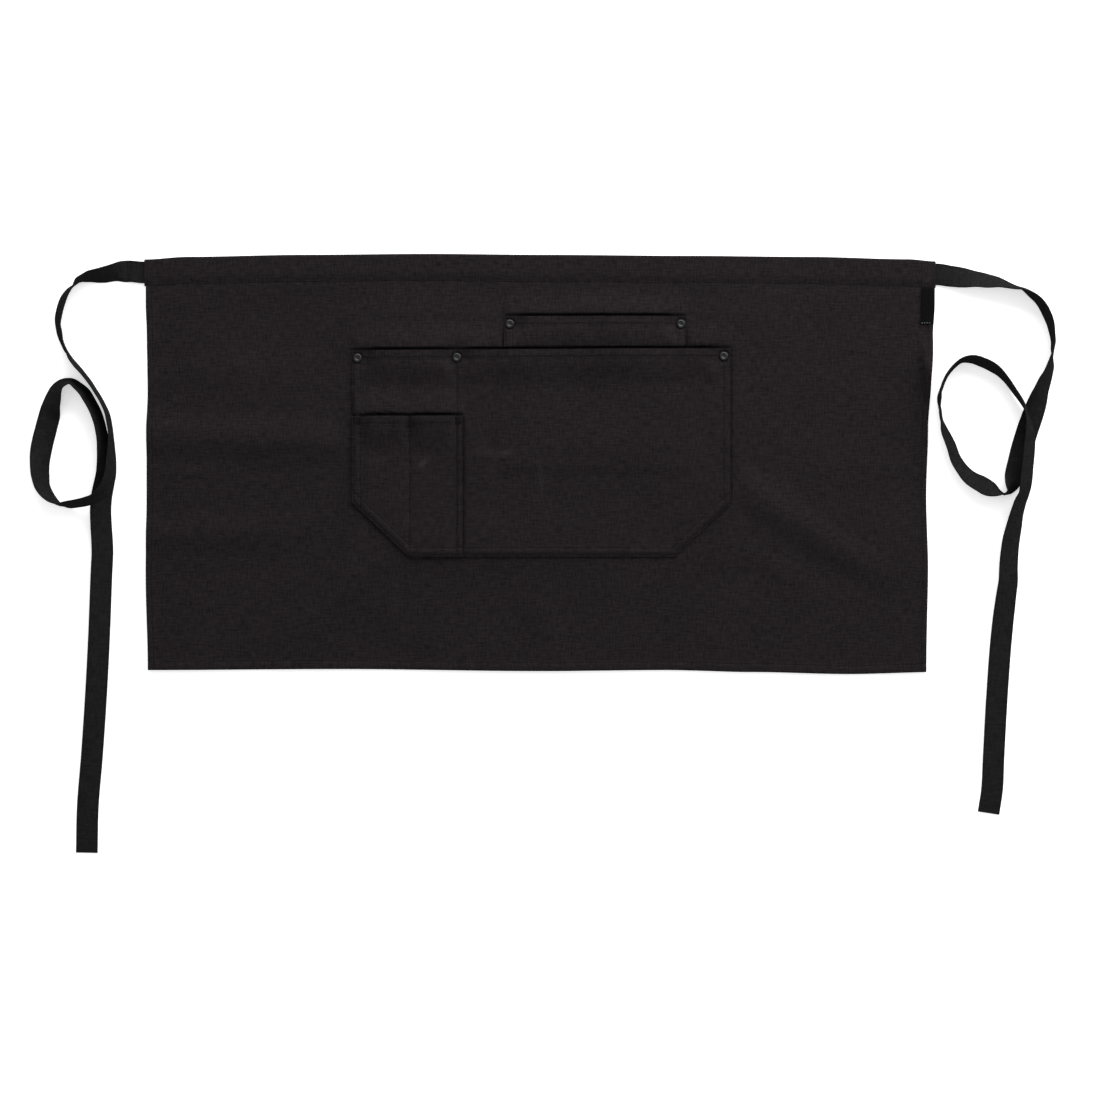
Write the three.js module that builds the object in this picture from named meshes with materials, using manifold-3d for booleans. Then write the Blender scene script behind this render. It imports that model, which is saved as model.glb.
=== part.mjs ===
// A waist apron laid flat: one cloth panel under a folded waistband, three patch
// pockets held by rivets at their mouths, a plain side label and two loose ties.
// Millimetres, +Z up. X runs along the waistband, +Y towards the waist, and the
// cloth lies on the plane z = 0. Every layer is a wall with its real thickness.
import * as THREE from "three";
import { mergeVertices } from "three/addons/utils/BufferGeometryUtils.js";
import Module from "manifold-3d";

const wasm = await Module();
wasm.setup();

// Cloth
const CLOTH = 1.0; // one layer of twill
const TURNING = 0.7; // what a turned-in hem adds to a layer
const SEAM = 0.3; // clearance between layers sewn on each other
const SLACK = 0.05; // so that a point on the edge of a strip counts as in it
const TIE_CLOTH = 1.2; // a tie, folded and stitched

// Panel and waistband
const BAND_LENGTH = 800; // end to end
const BAND_HEIGHT = 27;
const PANEL_DROP = 422; // top of the waistband to the bottom hem
const BOTTOM_HEM = 9.5;
const SIDE_HEM = 7;
const TIE_TUCK = 16; // how far a tie goes into the waistband
const SETTLE = 22; // run over which the cloth comes down to the table
const FOLD_HEIGHT = 4; // tallest soft fold
const FOLD_WIDTH = 18; // from the crest of the widest fold to its foot

// Main pocket, measured from the top line and from the middle of the apron
const MAIN_WIDTH = 384;
const MAIN_DEPTH = 209;
const MAIN_DOWN = 97;
const MAIN_SHIFT = 2; // middle of the pocket, to the right of the apron's middle
const MAIN_TILT = 2; // how much higher the right end of the mouth lies
const CORNER_WIDTH = 58; // each cut lower corner, along the foot
const CORNER_HEIGHT = 55; // and up the side
const DIVIDER_IN = 106; // sewn divider, from the pocket's left side

// Pen pocket on the main pocket's left compartment
const PEN_DOWN = 66.5; // its mouth, below the main pocket's mouth
const PEN_SPLIT = 58; // its middle seam, from the left side
const PEN_BAND = 7.6; // folded strip to the right of the divider

// Upper pocket, whose lower half lies under the main pocket
const UPPER_WIDTH = 184;
const UPPER_DEPTH = 150;
const UPPER_DOWN = 63.5;
const UPPER_SHIFT = 56;

// Pocket form
const SEWN_STRIP = 9; // flat strip under the two rows of stitching
const MOUTH_HEM = 9;
const GAPE = 5.5; // how far a mouth stands open
const GAPE_RUN = 14; // from a sewn strip to the full gape
const GAPE_DEPTH = 40; // below the mouth, where the pocket has closed
const CLOSED_SHARE = 0.1; // what is left of the gape there
const DRAPE = 12; // run over which the main pocket climbs over the upper one

// Rivets
const CAP_RADIUS = 4.75;
const CAP_HEIGHT = 1.9;
const SHANK_RADIUS = 2;
const FLANGE_RADIUS = 4.2;
const FLANGE = 0.8;
const RIVET_IN = 5.5; // from a pocket's side
const RIVET_IN_RIGHT = 8.3; // the main pocket's right rivet sits further in
const RIVET_DOWN = 7.6; // from a pocket's mouth
const CAP_CLEAR = 7; // round each rivet the layers stay pressed together
const RIVET_FACETS = 12;
const DRILL = 40; // length of the punch that holes the layers

// Side label
const LABEL_WIDTH = 13.6;
const LABEL_HEIGHT = 36.5;
const LABEL_CLOTH = 0.6;

// Ties
const TIE_WIDTH = 22;
const LEFT_REACH = 115; // root to the outermost point of the left tie
const LEFT_FALL = 587; // root to its free end
const RIGHT_REACH = 119;
const RIGHT_FALL = 545;
const TIE_STEP = 9; // length of one facet

// Facets of the cloth, counted between two neighbouring lines of its grid
const PANEL_SIDE_STEPS = 10; // each side, from its hem to the pockets
const PANEL_FIELD_STEPS = 10; // across the pockets
const PANEL_UPPER_STEPS = 4; // waistband to the pockets
const PANEL_FIELD_ROWS = 11;
const PANEL_LOWER_STEPS = 7; // pockets to the bottom hem
const BAND_STEPS = 22;
const BAND_FOLD_STEPS = 6;
const POCKET_FACET = 1.3 * GAPE_RUN;
const POCKET_BODY_ROWS = 5; // below the gape
const LABEL_STEPS = 8;

const TWILL = { color: 0x262223, roughness: 0.92, metalness: 0 };
const TAPE = { color: 0x21201f, roughness: 0.95, metalness: 0 };
const SATIN = { color: 0x141315, roughness: 0.6, metalness: 0 };
const GUNMETAL = { color: 0x55514f, roughness: 0.35, metalness: 1 };

// Heights that follow from the cloth
const BAND_THICK = 2 * CLOTH + 2 * SEAM + Math.max(CLOTH, TIE_CLOTH);
const SLOT_FLOOR = CLOTH + SEAM; // what lies in the waistband rests here
const POCKET_LIFT = FLANGE + SEAM; // rivet flanges hold the panel off the table
const TUCK_DOWN = BAND_THICK / 2 + SEAM; // below the waistband's fold

// Outline tables. along: share of BAND_LENGTH from the left end.
// sag: share of BAND_HEIGHT that the top line hangs below its highest point.
const TOP_LINE = [
  { along: 0, sag: 0.21 },
  { along: 0.055, sag: 0.112 },
  { along: 0.2, sag: 0.037 },
  { along: 0.358, sag: 0 },
  { along: 0.51, sag: 0.037 },
  { along: 0.69, sag: 0.075 },
  { along: 0.84, sag: 0.112 },
  { along: 0.965, sag: 0.2 },
  { along: 1, sag: 0.28 },
];
// low: share of PANEL_DROP that the hem lies below the nominal drop.
const BOTTOM_LINE = [
  { along: 0, low: -0.0024 },
  { along: 0.25, low: -0.0048 },
  { along: 0.5, low: 0 },
  { along: 0.66, low: -0.0024 },
  { along: 0.77, low: 0.0024 },
  { along: 0.89, low: 0.0072 },
  { along: 1, low: 0.0024 },
];
// down: share of PANEL_DROP. left, right: share of BAND_LENGTH that the side
// lies inside the waistband's end.
const SIDE_LINES = [
  { down: 0, left: 0.0018, right: 0.0012 },
  { down: 0.12, left: 0.0018, right: 0.0012 },
  { down: 0.2, left: 0.0032, right: 0.0034 },
  { down: 0.32, left: 0.0043, right: 0.0066 },
  { down: 0.42, left: 0.003, right: 0.0095 },
  { down: 0.58, left: 0.003, right: 0.0118 },
  { down: 0.76, left: 0.0018, right: 0.0096 },
  { down: 1, left: 0.0045, right: 0.0116 },
];

// Rows of a pocket below its mouth hem, as shares of the run in which it closes.
const CLOSING_ROWS = [0.08, 0.25, 0.45, 0.7, 1];

// A rivet's cap from its rim to the dimple in its middle. radius: share of
// CAP_RADIUS, height: share of CAP_HEIGHT.
const CAP_PROFILE = [
  { radius: 0.93, height: 0 },
  { radius: 1, height: 0.3 },
  { radius: 0.86, height: 0.85 },
  { radius: 0.62, height: 1 },
  { radius: 0.36, height: 0.66 },
  { radius: 0, height: 0.58 },
];

// Soft folds of the panel outside its pockets. Ends as shares of BAND_LENGTH and
// PANEL_DROP, height of FOLD_HEIGHT, width of FOLD_WIDTH.
const FOLDS = [
  { fromAlong: 0, fromDown: 0.44, toAlong: 0.27, toDown: 0.5, height: 1, width: 1 },
  { fromAlong: 0, fromDown: 0.68, toAlong: 0.16, toDown: 0.7, height: 0.5, width: 0.9 },
  { fromAlong: 0, fromDown: 0.3, toAlong: 0.12, toDown: 0.3, height: 0.4, width: 0.9 },
  { fromAlong: 0.74, fromDown: 0.56, toAlong: 0.93, toDown: 0.79, height: 1, width: 1 },
  { fromAlong: 0.72, fromDown: 0.68, toAlong: 0.81, toDown: 0.78, height: 0.5, width: 0.8 },
  { fromAlong: 0.28, fromDown: 0.68, toAlong: 0.17, toDown: 0.97, height: 0.6, width: 1 },
  { fromAlong: 0.95, fromDown: 0.25, toAlong: 0.955, toDown: 0.5, height: 0.5, width: 0.9 },
  { fromAlong: 0.5, fromDown: 0.86, toAlong: 0.52, toDown: 1, height: 0.4, width: 1 },
];

// Routes of the ties, in order from the waistband. out and fall: shares of the
// tie's reach and fall, from the waistband's end. turn: the roll of the tie in
// degrees, 0 flat on the table, 90 on its edge. lift: share of TIE_WIDTH that its
// lower edge stands above the table, where it passes over itself.
const LEFT_ROUTE = [
  { out: 0.147, fall: -0.002, turn: 0, lift: 0 },
  { out: 0.253, fall: 0.001, turn: -42, lift: 0 },
  { out: 0.358, fall: 0.0055, turn: -53, lift: 0 },
  { out: 0.411, fall: 0.007, turn: -60, lift: 0 },
  { out: 0.464, fall: 0.008, turn: -69, lift: 0 },
  { out: 0.517, fall: 0.011, turn: -79, lift: 0 },
  { out: 0.57, fall: 0.014, turn: -86, lift: 0 },
  { out: 0.622, fall: 0.0245, turn: -98, lift: 0 },
  { out: 0.675, fall: 0.0375, turn: -107, lift: 0 },
  { out: 0.71, fall: 0.051, turn: -111, lift: 0 },
  { out: 0.733, fall: 0.065, turn: -111, lift: 0 },
  { out: 0.746, fall: 0.079, turn: -110, lift: 0 },
  { out: 0.746, fall: 0.0925, turn: -106, lift: 0 },
  { out: 0.733, fall: 0.1065, turn: -105, lift: 0 },
  { out: 0.715, fall: 0.12, turn: -100, lift: 0 },
  { out: 0.688, fall: 0.134, turn: -97, lift: 0 },
  { out: 0.644, fall: 0.1495, turn: -90, lift: 0 },
  { out: 0.592, fall: 0.1615, turn: -85, lift: 0 },
  { out: 0.53, fall: 0.1755, turn: -82, lift: 0 },
  { out: 0.429, fall: 0.203, turn: -80, lift: 0 },
  { out: 0.349, fall: 0.2305, turn: -82, lift: 0 },
  { out: 0.319, fall: 0.2445, turn: -84, lift: 0 },
  { out: 0.303, fall: 0.26, turn: -85, lift: 0 },
  { out: 0.288, fall: 0.279, turn: -85, lift: 0 },
  { out: 0.279, fall: 0.2995, turn: -78, lift: 0.08 },
  { out: 0.275, fall: 0.32, turn: -75, lift: 0.2 },
  { out: 0.275, fall: 0.341, turn: -72, lift: 0.35 },
  { out: 0.288, fall: 0.358, turn: -71, lift: 0.46 },
  { out: 0.319, fall: 0.372, turn: -70, lift: 0.52 },
  { out: 0.367, fall: 0.382, turn: -71, lift: 0.54 },
  { out: 0.42, fall: 0.39, turn: -74, lift: 0.52 },
  { out: 0.482, fall: 0.3945, turn: -74, lift: 0.36 },
  { out: 0.57, fall: 0.398, turn: -76, lift: 0.14 },
  { out: 0.675, fall: 0.4, turn: -80, lift: 0 },
  { out: 0.728, fall: 0.3985, turn: -88, lift: 0 },
  { out: 0.781, fall: 0.3935, turn: -98, lift: 0 },
  { out: 0.851, fall: 0.3805, turn: -112, lift: 0 },
  { out: 0.887, fall: 0.3685, turn: -122, lift: 0 },
  { out: 0.904, fall: 0.3545, turn: -133, lift: 0 },
  { out: 0.913, fall: 0.327, turn: -145, lift: 0 },
  { out: 0.9, fall: 0.2995, turn: -164, lift: 0 },
  { out: 0.869, fall: 0.272, turn: -175, lift: 0 },
  { out: 0.834, fall: 0.2445, turn: -185, lift: 0 },
  { out: 0.816, fall: 0.2305, turn: -205, lift: 0 },
  { out: 0.794, fall: 0.2165, turn: -215, lift: 0 },
  { out: 0.768, fall: 0.203, turn: -230, lift: 0 },
  { out: 0.728, fall: 0.1935, turn: -245, lift: 0 },
  { out: 0.675, fall: 0.189, turn: -253, lift: 0 },
  { out: 0.64, fall: 0.188, turn: -258, lift: 0 },
  { out: 0.57, fall: 0.197, turn: -255, lift: 0 },
  { out: 0.517, fall: 0.207, turn: -252, lift: 0 },
  { out: 0.486, fall: 0.2165, turn: -252, lift: 0 },
  { out: 0.411, fall: 0.2445, turn: -253, lift: 0 },
  { out: 0.371, fall: 0.272, turn: -253, lift: 0 },
  { out: 0.354, fall: 0.29, turn: -249, lift: 0 },
  { out: 0.342, fall: 0.31, turn: -240, lift: 0 },
  { out: 0.334, fall: 0.3275, turn: -228, lift: 0 },
  { out: 0.333, fall: 0.344, turn: -218, lift: 0 },
  { out: 0.343, fall: 0.358, turn: -210, lift: 0 },
  { out: 0.357, fall: 0.3705, turn: -206, lift: 0 },
  { out: 0.37, fall: 0.383, turn: -204, lift: 0 },
  { out: 0.381, fall: 0.41, turn: -203, lift: 0 },
  { out: 0.377, fall: 0.437, turn: -199, lift: 0 },
  { out: 0.367, fall: 0.479, turn: -196, lift: 0 },
  { out: 0.376, fall: 0.52, turn: -195, lift: 0 },
  { out: 0.398, fall: 0.63, turn: -192, lift: 0 },
  { out: 0.429, fall: 0.741, turn: -189, lift: 0 },
  { out: 0.464, fall: 0.8375, turn: -184, lift: 0 },
  { out: 0.499, fall: 0.92, turn: -180, lift: 0 },
  { out: 0.508, fall: 1, turn: -180, lift: 0 },
];
const RIGHT_ROUTE = [
  { out: 0.124, fall: 0.0035, turn: 8, lift: 0 },
  { out: 0.226, fall: 0.0065, turn: 19, lift: 0 },
  { out: 0.328, fall: 0.0095, turn: 38, lift: 0 },
  { out: 0.43, fall: 0.013, turn: 47, lift: 0 },
  { out: 0.532, fall: 0.016, turn: 63, lift: 0 },
  { out: 0.583, fall: 0.0195, turn: 70, lift: 0 },
  { out: 0.634, fall: 0.023, turn: 76, lift: 0 },
  { out: 0.736, fall: 0.03, turn: 86, lift: 0 },
  { out: 0.787, fall: 0.037, turn: 99, lift: 0 },
  { out: 0.868, fall: 0.051, turn: 106, lift: 0 },
  { out: 0.915, fall: 0.066, turn: 107, lift: 0 },
  { out: 0.945, fall: 0.081, turn: 106, lift: 0 },
  { out: 0.966, fall: 0.0955, turn: 103, lift: 0 },
  { out: 0.979, fall: 0.1105, turn: 96, lift: 0 },
  { out: 0.985, fall: 0.1255, turn: 90, lift: 0 },
  { out: 0.977, fall: 0.14, turn: 86, lift: 0 },
  { out: 0.974, fall: 0.155, turn: 80, lift: 0 },
  { out: 0.966, fall: 0.17, turn: 69, lift: 0 },
  { out: 0.945, fall: 0.185, turn: 61, lift: 0 },
  { out: 0.919, fall: 0.1995, turn: 49, lift: 0 },
  { out: 0.894, fall: 0.2145, turn: 41, lift: 0 },
  { out: 0.872, fall: 0.2295, turn: 28, lift: 0 },
  { out: 0.83, fall: 0.259, turn: 8, lift: 0 },
  { out: 0.783, fall: 0.289, turn: 0, lift: 0 },
  { out: 0.741, fall: 0.3185, turn: 0, lift: 0 },
  { out: 0.702, fall: 0.348, turn: -10, lift: 0 },
  { out: 0.66, fall: 0.378, turn: -24, lift: 0 },
  { out: 0.634, fall: 0.393, turn: -48, lift: 0 },
  { out: 0.6, fall: 0.404, turn: -80, lift: 0 },
  { out: 0.532, fall: 0.404, turn: -104, lift: 0 },
  { out: 0.481, fall: 0.4, turn: -121, lift: 0 },
  { out: 0.43, fall: 0.3955, turn: -130, lift: 0 },
  { out: 0.379, fall: 0.389, turn: -130, lift: 0 },
  { out: 0.328, fall: 0.3835, turn: -127, lift: 0 },
  { out: 0.277, fall: 0.376, turn: -124, lift: 0 },
  { out: 0.222, fall: 0.363, turn: -120, lift: 0 },
  { out: 0.175, fall: 0.348, turn: -118, lift: 0 },
  { out: 0.124, fall: 0.3185, turn: -114, lift: 0 },
  { out: 0.094, fall: 0.3035, turn: -111, lift: 0 },
  { out: 0.065, fall: 0.289, turn: -104, lift: 0 },
  { out: 0.048, fall: 0.274, turn: -99, lift: 0 },
  { out: 0.034, fall: 0.25, turn: -97, lift: 0 },
  { out: 0.03, fall: 0.2295, turn: -90, lift: 0 },
  { out: 0.043, fall: 0.2145, turn: -84, lift: 0 },
  { out: 0.065, fall: 0.1995, turn: -83, lift: 0 },
  { out: 0.103, fall: 0.185, turn: -82, lift: 0 },
  { out: 0.15, fall: 0.172, turn: -80, lift: 0 },
  { out: 0.226, fall: 0.16, turn: -82, lift: 0 },
  { out: 0.277, fall: 0.1585, turn: -76, lift: 0 },
  { out: 0.328, fall: 0.1595, turn: -73, lift: 0 },
  { out: 0.379, fall: 0.1635, turn: -69, lift: 0 },
  { out: 0.43, fall: 0.168, turn: -67, lift: 0 },
  { out: 0.481, fall: 0.1745, turn: -67, lift: 0 },
  { out: 0.532, fall: 0.183, turn: -71, lift: 0 },
  { out: 0.583, fall: 0.195, turn: -75, lift: 0 },
  { out: 0.634, fall: 0.21, turn: -80, lift: 0.02 },
  { out: 0.685, fall: 0.2275, turn: -84, lift: 0.08 },
  { out: 0.736, fall: 0.2475, turn: -84, lift: 0.13 },
  { out: 0.772, fall: 0.27, turn: -76, lift: 0.14 },
  { out: 0.79, fall: 0.294, turn: -63, lift: 0.14 },
  { out: 0.786, fall: 0.3205, turn: -56, lift: 0.14 },
  { out: 0.77, fall: 0.359, turn: -54, lift: 0.14 },
  { out: 0.753, fall: 0.3925, turn: -54, lift: 0.13 },
  { out: 0.736, fall: 0.41, turn: -57, lift: 0.06 },
  { out: 0.711, fall: 0.4225, turn: -59, lift: 0 },
  { out: 0.69, fall: 0.4375, turn: -57, lift: 0 },
  { out: 0.66, fall: 0.467, turn: -47, lift: 0 },
  { out: 0.626, fall: 0.5115, turn: -37, lift: 0 },
  { out: 0.617, fall: 0.5415, turn: -35, lift: 0 },
  { out: 0.613, fall: 0.571, turn: -29, lift: 0 },
  { out: 0.596, fall: 0.6, turn: -14, lift: 0 },
  { out: 0.566, fall: 0.66, turn: -5, lift: 0 },
  { out: 0.524, fall: 0.779, turn: -3, lift: 0 },
  { out: 0.494, fall: 0.898, turn: -3, lift: 0 },
  { out: 0.481, fall: 0.9575, turn: 0, lift: 0 },
  { out: 0.452, fall: 1, turn: 0, lift: 0 },
];

// Small helpers

const smooth = (t) => THREE.MathUtils.smoothstep(t, 0, 1);

// Value of one column of a table at t, eased from row to row.
function follow(rows, key, column, t) {
  let k = 0;
  while (k < rows.length - 2 && t > rows[k + 1][key]) k++;
  const share = (t - rows[k][key]) / (rows[k + 1][key] - rows[k][key]);
  return THREE.MathUtils.lerp(rows[k][column], rows[k + 1][column], smooth(share));
}

// Whole numbers from 0 up to count, not counting it.
const upTo = (count) => Array.from({ length: count }, (_, i) => i);

// Values from one end to the other in equal steps, both ends included.
function spaced(from, to, steps) {
  return upTo(steps + 1).map((i) => from + ((to - from) * i) / steps);
}

const ordered = (values) => [...values].sort((a, b) => a - b);

// A line is a function: of x that gives y, or of y that gives x.
const shift = (line, by) => (at) => line(at) + by;
const between = (first, second, share) => (at) => THREE.MathUtils.lerp(first(at), second(at), share);

// Lines at the given shares of the way from one line to another.
const lines = (first, second, shares) => shares.map((share) => between(first, second, share));
// The same in equal steps, without the first line itself.
const steps = (first, second, count) => lines(first, second, spaced(0, 1, count).slice(1));

// A closed wall between two grids of points: outer(i, j) and inner(i, j) give the
// two faces, i across and j along, and the four edges are closed.
function wall(across, along, outer, inner) {
  const points = [];
  for (const face of [outer, inner])
    for (const j of upTo(along))
      for (const i of upTo(across)) points.push(...face(i, j));
  const at = (side, i, j) => (side * along + j) * across + i;
  const faces = [];
  const quad = (a, b, c, d) => faces.push(a, b, c, a, c, d);
  for (const j of upTo(along - 1))
    for (const i of upTo(across - 1)) {
      quad(at(0, i, j), at(0, i, j + 1), at(0, i + 1, j + 1), at(0, i + 1, j));
      quad(at(1, i, j), at(1, i + 1, j), at(1, i + 1, j + 1), at(1, i, j + 1));
    }
  const lastAcross = across - 1;
  const lastAlong = along - 1;
  for (const j of upTo(along - 1)) {
    const i = lastAcross;
    quad(at(0, 0, j), at(1, 0, j), at(1, 0, j + 1), at(0, 0, j + 1));
    quad(at(0, i, j), at(0, i, j + 1), at(1, i, j + 1), at(1, i, j));
  }
  for (const i of upTo(across - 1)) {
    const j = lastAlong;
    quad(at(0, i, 0), at(0, i + 1, 0), at(1, i + 1, 0), at(1, i, 0));
    quad(at(0, i, j), at(1, i, j), at(1, i + 1, j), at(0, i + 1, j));
  }
  const geometry = new THREE.BufferGeometry();
  geometry.setAttribute("position", new THREE.Float32BufferAttribute(points, 3));
  geometry.setIndex(faces);
  return geometry;
}

// A cloth layer over a grid of plan points: columns are x values or functions of
// y, rows are functions of x that give y. top and under give its two heights.
function layer(columns, rows, top, under) {
  const plan = (i, j) => {
    const y = rows[j](columns[i](0));
    const x = columns[i](y);
    return [x, rows[j](x)];
  };
  const face = (height) => (i, j) => {
    const [x, y] = plan(i, j);
    return [x, y, height(x, y)];
  };
  return wall(columns.length, rows.length, face(top), face(under));
}

function solid(geometry) {
  const bare = new THREE.BufferGeometry();
  bare.setAttribute("position", geometry.getAttribute("position"));
  bare.setIndex(geometry.getIndex());
  const merged = mergeVertices(bare, 1e-4);
  return new wasm.Manifold(
    new wasm.Mesh({
      numProp: 3,
      vertProperties: merged.attributes.position.array,
      triVerts: new Uint32Array(merged.index.array),
    }),
  );
}

function cut(geometry, tools) {
  let body = solid(geometry);
  for (const tool of tools) body = body.subtract(solid(tool));
  const mesh = body.getMesh();
  const result = new THREE.BufferGeometry();
  result.setAttribute("position", new THREE.BufferAttribute(mesh.vertProperties, 3));
  result.setIndex(new THREE.BufferAttribute(mesh.triVerts, 1));
  return result;
}

function piece(name, geometry, finish) {
  geometry.computeVertexNormals();
  const material = new THREE.MeshStandardMaterial({ ...finish, flatShading: true });
  const mesh = new THREE.Mesh(geometry, material);
  mesh.name = name;
  return mesh;
}

// Outline of the apron

const alongOf = (x) => x / BAND_LENGTH + 0.5;
const topLine = (x) => -BAND_HEIGHT * follow(TOP_LINE, "along", "sag", alongOf(x));
const bottomLine = (x) => -PANEL_DROP * (1 + follow(BOTTOM_LINE, "along", "low", alongOf(x)));
const inset = (side, y) => BAND_LENGTH * follow(SIDE_LINES, "down", side, -y / PANEL_DROP);
const leftSide = (y) => -BAND_LENGTH / 2 + inset("left", y);
const rightSide = (y) => BAND_LENGTH / 2 - inset("right", y);

// Pocket outlines: left, right, mouth(x) and foot(x)

function patch(middle, width, mouth, foot) {
  return { left: middle - width / 2, right: middle + width / 2, mouth, foot };
}

const mainMouth = (x) => -MAIN_DOWN + (MAIN_TILT * (x - MAIN_SHIFT)) / MAIN_WIDTH;
const mainFootLine = -MAIN_DOWN - MAIN_DEPTH;
const cornerLift = (x) => {
  const fromSide = Math.min(x - MAIN.left, MAIN.right - x);
  return CORNER_HEIGHT * Math.max(0, 1 - fromSide / CORNER_WIDTH);
};
const MAIN = patch(MAIN_SHIFT, MAIN_WIDTH, mainMouth, (x) => mainFootLine + cornerLift(x));
const DIVIDER = MAIN.left + DIVIDER_IN;
const PEN = {
  left: MAIN.left,
  right: DIVIDER + PEN_BAND,
  mouth: shift(mainMouth, -PEN_DOWN),
  foot: MAIN.foot,
};
const PEN_SEAM = PEN.left + PEN_SPLIT;
const UPPER = patch(UPPER_SHIFT, UPPER_WIDTH, () => -UPPER_DOWN, () => -UPPER_DOWN - UPPER_DEPTH);
const UPPER_CLOSED = MAIN_DOWN - UPPER_DOWN; // it has closed where the main pocket begins
const OVER_UPPER = {
  left: UPPER.left - SEAM,
  right: UPPER.right + SEAM,
  mouth: UPPER.mouth,
  foot: shift(UPPER.foot, -SEAM),
};

const RIVETS = [
  { name: "rivet_main_left", x: MAIN.left + RIVET_IN, of: MAIN },
  { name: "rivet_main_middle", x: DIVIDER, of: MAIN },
  { name: "rivet_main_right", x: MAIN.right - RIVET_IN_RIGHT, of: MAIN },
  { name: "rivet_upper_left", x: UPPER.left + RIVET_IN, of: UPPER },
  { name: "rivet_upper_right", x: UPPER.right - RIVET_IN, of: UPPER },
].map((rivet) => ({ ...rivet, y: rivet.of.mouth(rivet.x) - RIVET_DOWN }));

// Heights of the cloth

// The field that the pockets fill, where the panel lies flat on the rivet flanges.
const FIELD = {
  left: Math.min(MAIN.left, UPPER.left) - SEAM,
  right: Math.max(MAIN.right, UPPER.right) + SEAM,
  mouth: () => Math.max(-UPPER_DOWN, mainMouth(MAIN.right)) + SEAM,
  foot: () => Math.min(mainFootLine, UPPER.foot(0)) - SEAM,
};

// 1 inside a box, easing to 0 over run outside it.
function inside(area, x, y, run) {
  const dx = Math.max(area.left - x, x - area.right, 0);
  const dy = Math.max(y - area.mouth(x), area.foot(x) - y, 0);
  return smooth(1 - Math.hypot(dx, dy) / run);
}

const placeAt = (along, down) => new THREE.Vector2((along - 0.5) * BAND_LENGTH, -down * PANEL_DROP);

function foldHeight(x, y) {
  let height = 0;
  for (const fold of FOLDS) {
    const start = placeAt(fold.fromAlong, fold.fromDown);
    const run = placeAt(fold.toAlong, fold.toDown).sub(start);
    const step = new THREE.Vector2(x, y).sub(start);
    const share = THREE.MathUtils.clamp(step.dot(run) / run.lengthSq(), 0, 1);
    const away = step.sub(run.multiplyScalar(share)).length();
    height = Math.max(height, fold.height * smooth(1 - away / (fold.width * FOLD_WIDTH)));
  }
  return FOLD_HEIGHT * height;
}

function panelUnder(x, y) {
  const belowBand = topLine(x) - BAND_HEIGHT - y;
  const fromBand = SLOT_FLOOR * smooth(1 - belowBand / SETTLE);
  const pocketArea = inside(FIELD, x, y, SETTLE);
  const free = smooth(belowBand / SETTLE) * (1 - pocketArea);
  return Math.max(fromBand, POCKET_LIFT * pocketArea) + foldHeight(x, y) * free;
}

const within = (distance, strip) => distance < strip + SLACK;

function panelTop(x, y) {
  const fromEdge = Math.min(x - leftSide(y), rightSide(y) - x);
  const inHem = within(fromEdge, SIDE_HEM) || within(y - bottomLine(x), BOTTOM_HEM);
  const inBand = within(topLine(x) - y, BAND_HEIGHT + SEAM);
  return panelUnder(x, y) + CLOTH + (inHem && !inBand ? TURNING : 0);
}

// How far a patch pocket's underside stands off what it is sewn on. seams are the
// distances to its sewn lines, below is the distance under its mouth.
function standOff(seams, below, closedAt, x, y) {
  const swell = Math.min(1, Math.max(0, Math.min(...seams)) / GAPE_RUN);
  const bulge = 1 - (1 - swell) ** 2;
  const open = smooth(1 - (below - MOUTH_HEM) / (closedAt - MOUTH_HEM));
  let clamp = 1;
  for (const rivet of RIVETS) {
    const away = Math.hypot(x - rivet.x, y - rivet.y) - CAP_CLEAR;
    clamp = Math.min(clamp, smooth(away / GAPE_RUN));
  }
  return GAPE * bulge * clamp * THREE.MathUtils.lerp(CLOSED_SHARE, 1, open);
}

// Distances to the sewn strips at the left, right and foot of a pocket. A cut
// corner is nearer at right angles to the cut than straight down.
function sewnEdges(pocket, x, y) {
  const toFoot = y - pocket.foot(x);
  const edges = [x - pocket.left, pocket.right - x, toFoot];
  if (pocket.foot === MAIN.foot) {
    const pastCorner = Math.min(x - MAIN.left, MAIN.right - x) - CORNER_WIDTH;
    const slant = CORNER_WIDTH / Math.hypot(CORNER_WIDTH, CORNER_HEIGHT);
    edges.push(toFoot * slant + Math.max(0, pastCorner));
  }
  return edges.map((distance) => distance - SEWN_STRIP);
}

const hemmed = (pocket, x, y) => (within(pocket.mouth(x) - y, MOUTH_HEM) ? TURNING : 0);

function upperUnder(x, y) {
  const seams = sewnEdges(UPPER, x, y);
  return POCKET_LIFT + CLOTH + SEAM + standOff(seams, UPPER.mouth(x) - y, UPPER_CLOSED, x, y);
}
const upperTop = (x, y) => upperUnder(x, y) + CLOTH + hemmed(UPPER, x, y);

function mainUnder(x, y) {
  const fromDivider = Math.abs(x - DIVIDER) - SEAM;
  const seams = [...sewnEdges(MAIN, x, y), fromDivider];
  const overUpper = inside(OVER_UPPER, x, y, DRAPE);
  const insideX = THREE.MathUtils.clamp(x, UPPER.left, UPPER.right);
  const insideY = Math.max(y, UPPER.foot(x));
  const carried = (upperTop(insideX, insideY) - POCKET_LIFT - CLOTH) * overUpper;
  return POCKET_LIFT + CLOTH + SEAM + carried + standOff(seams, MAIN.mouth(x) - y, GAPE_DEPTH, x, y);
}
const mainTop = (x, y) => mainUnder(x, y) + CLOTH + hemmed(MAIN, x, y);

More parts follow.
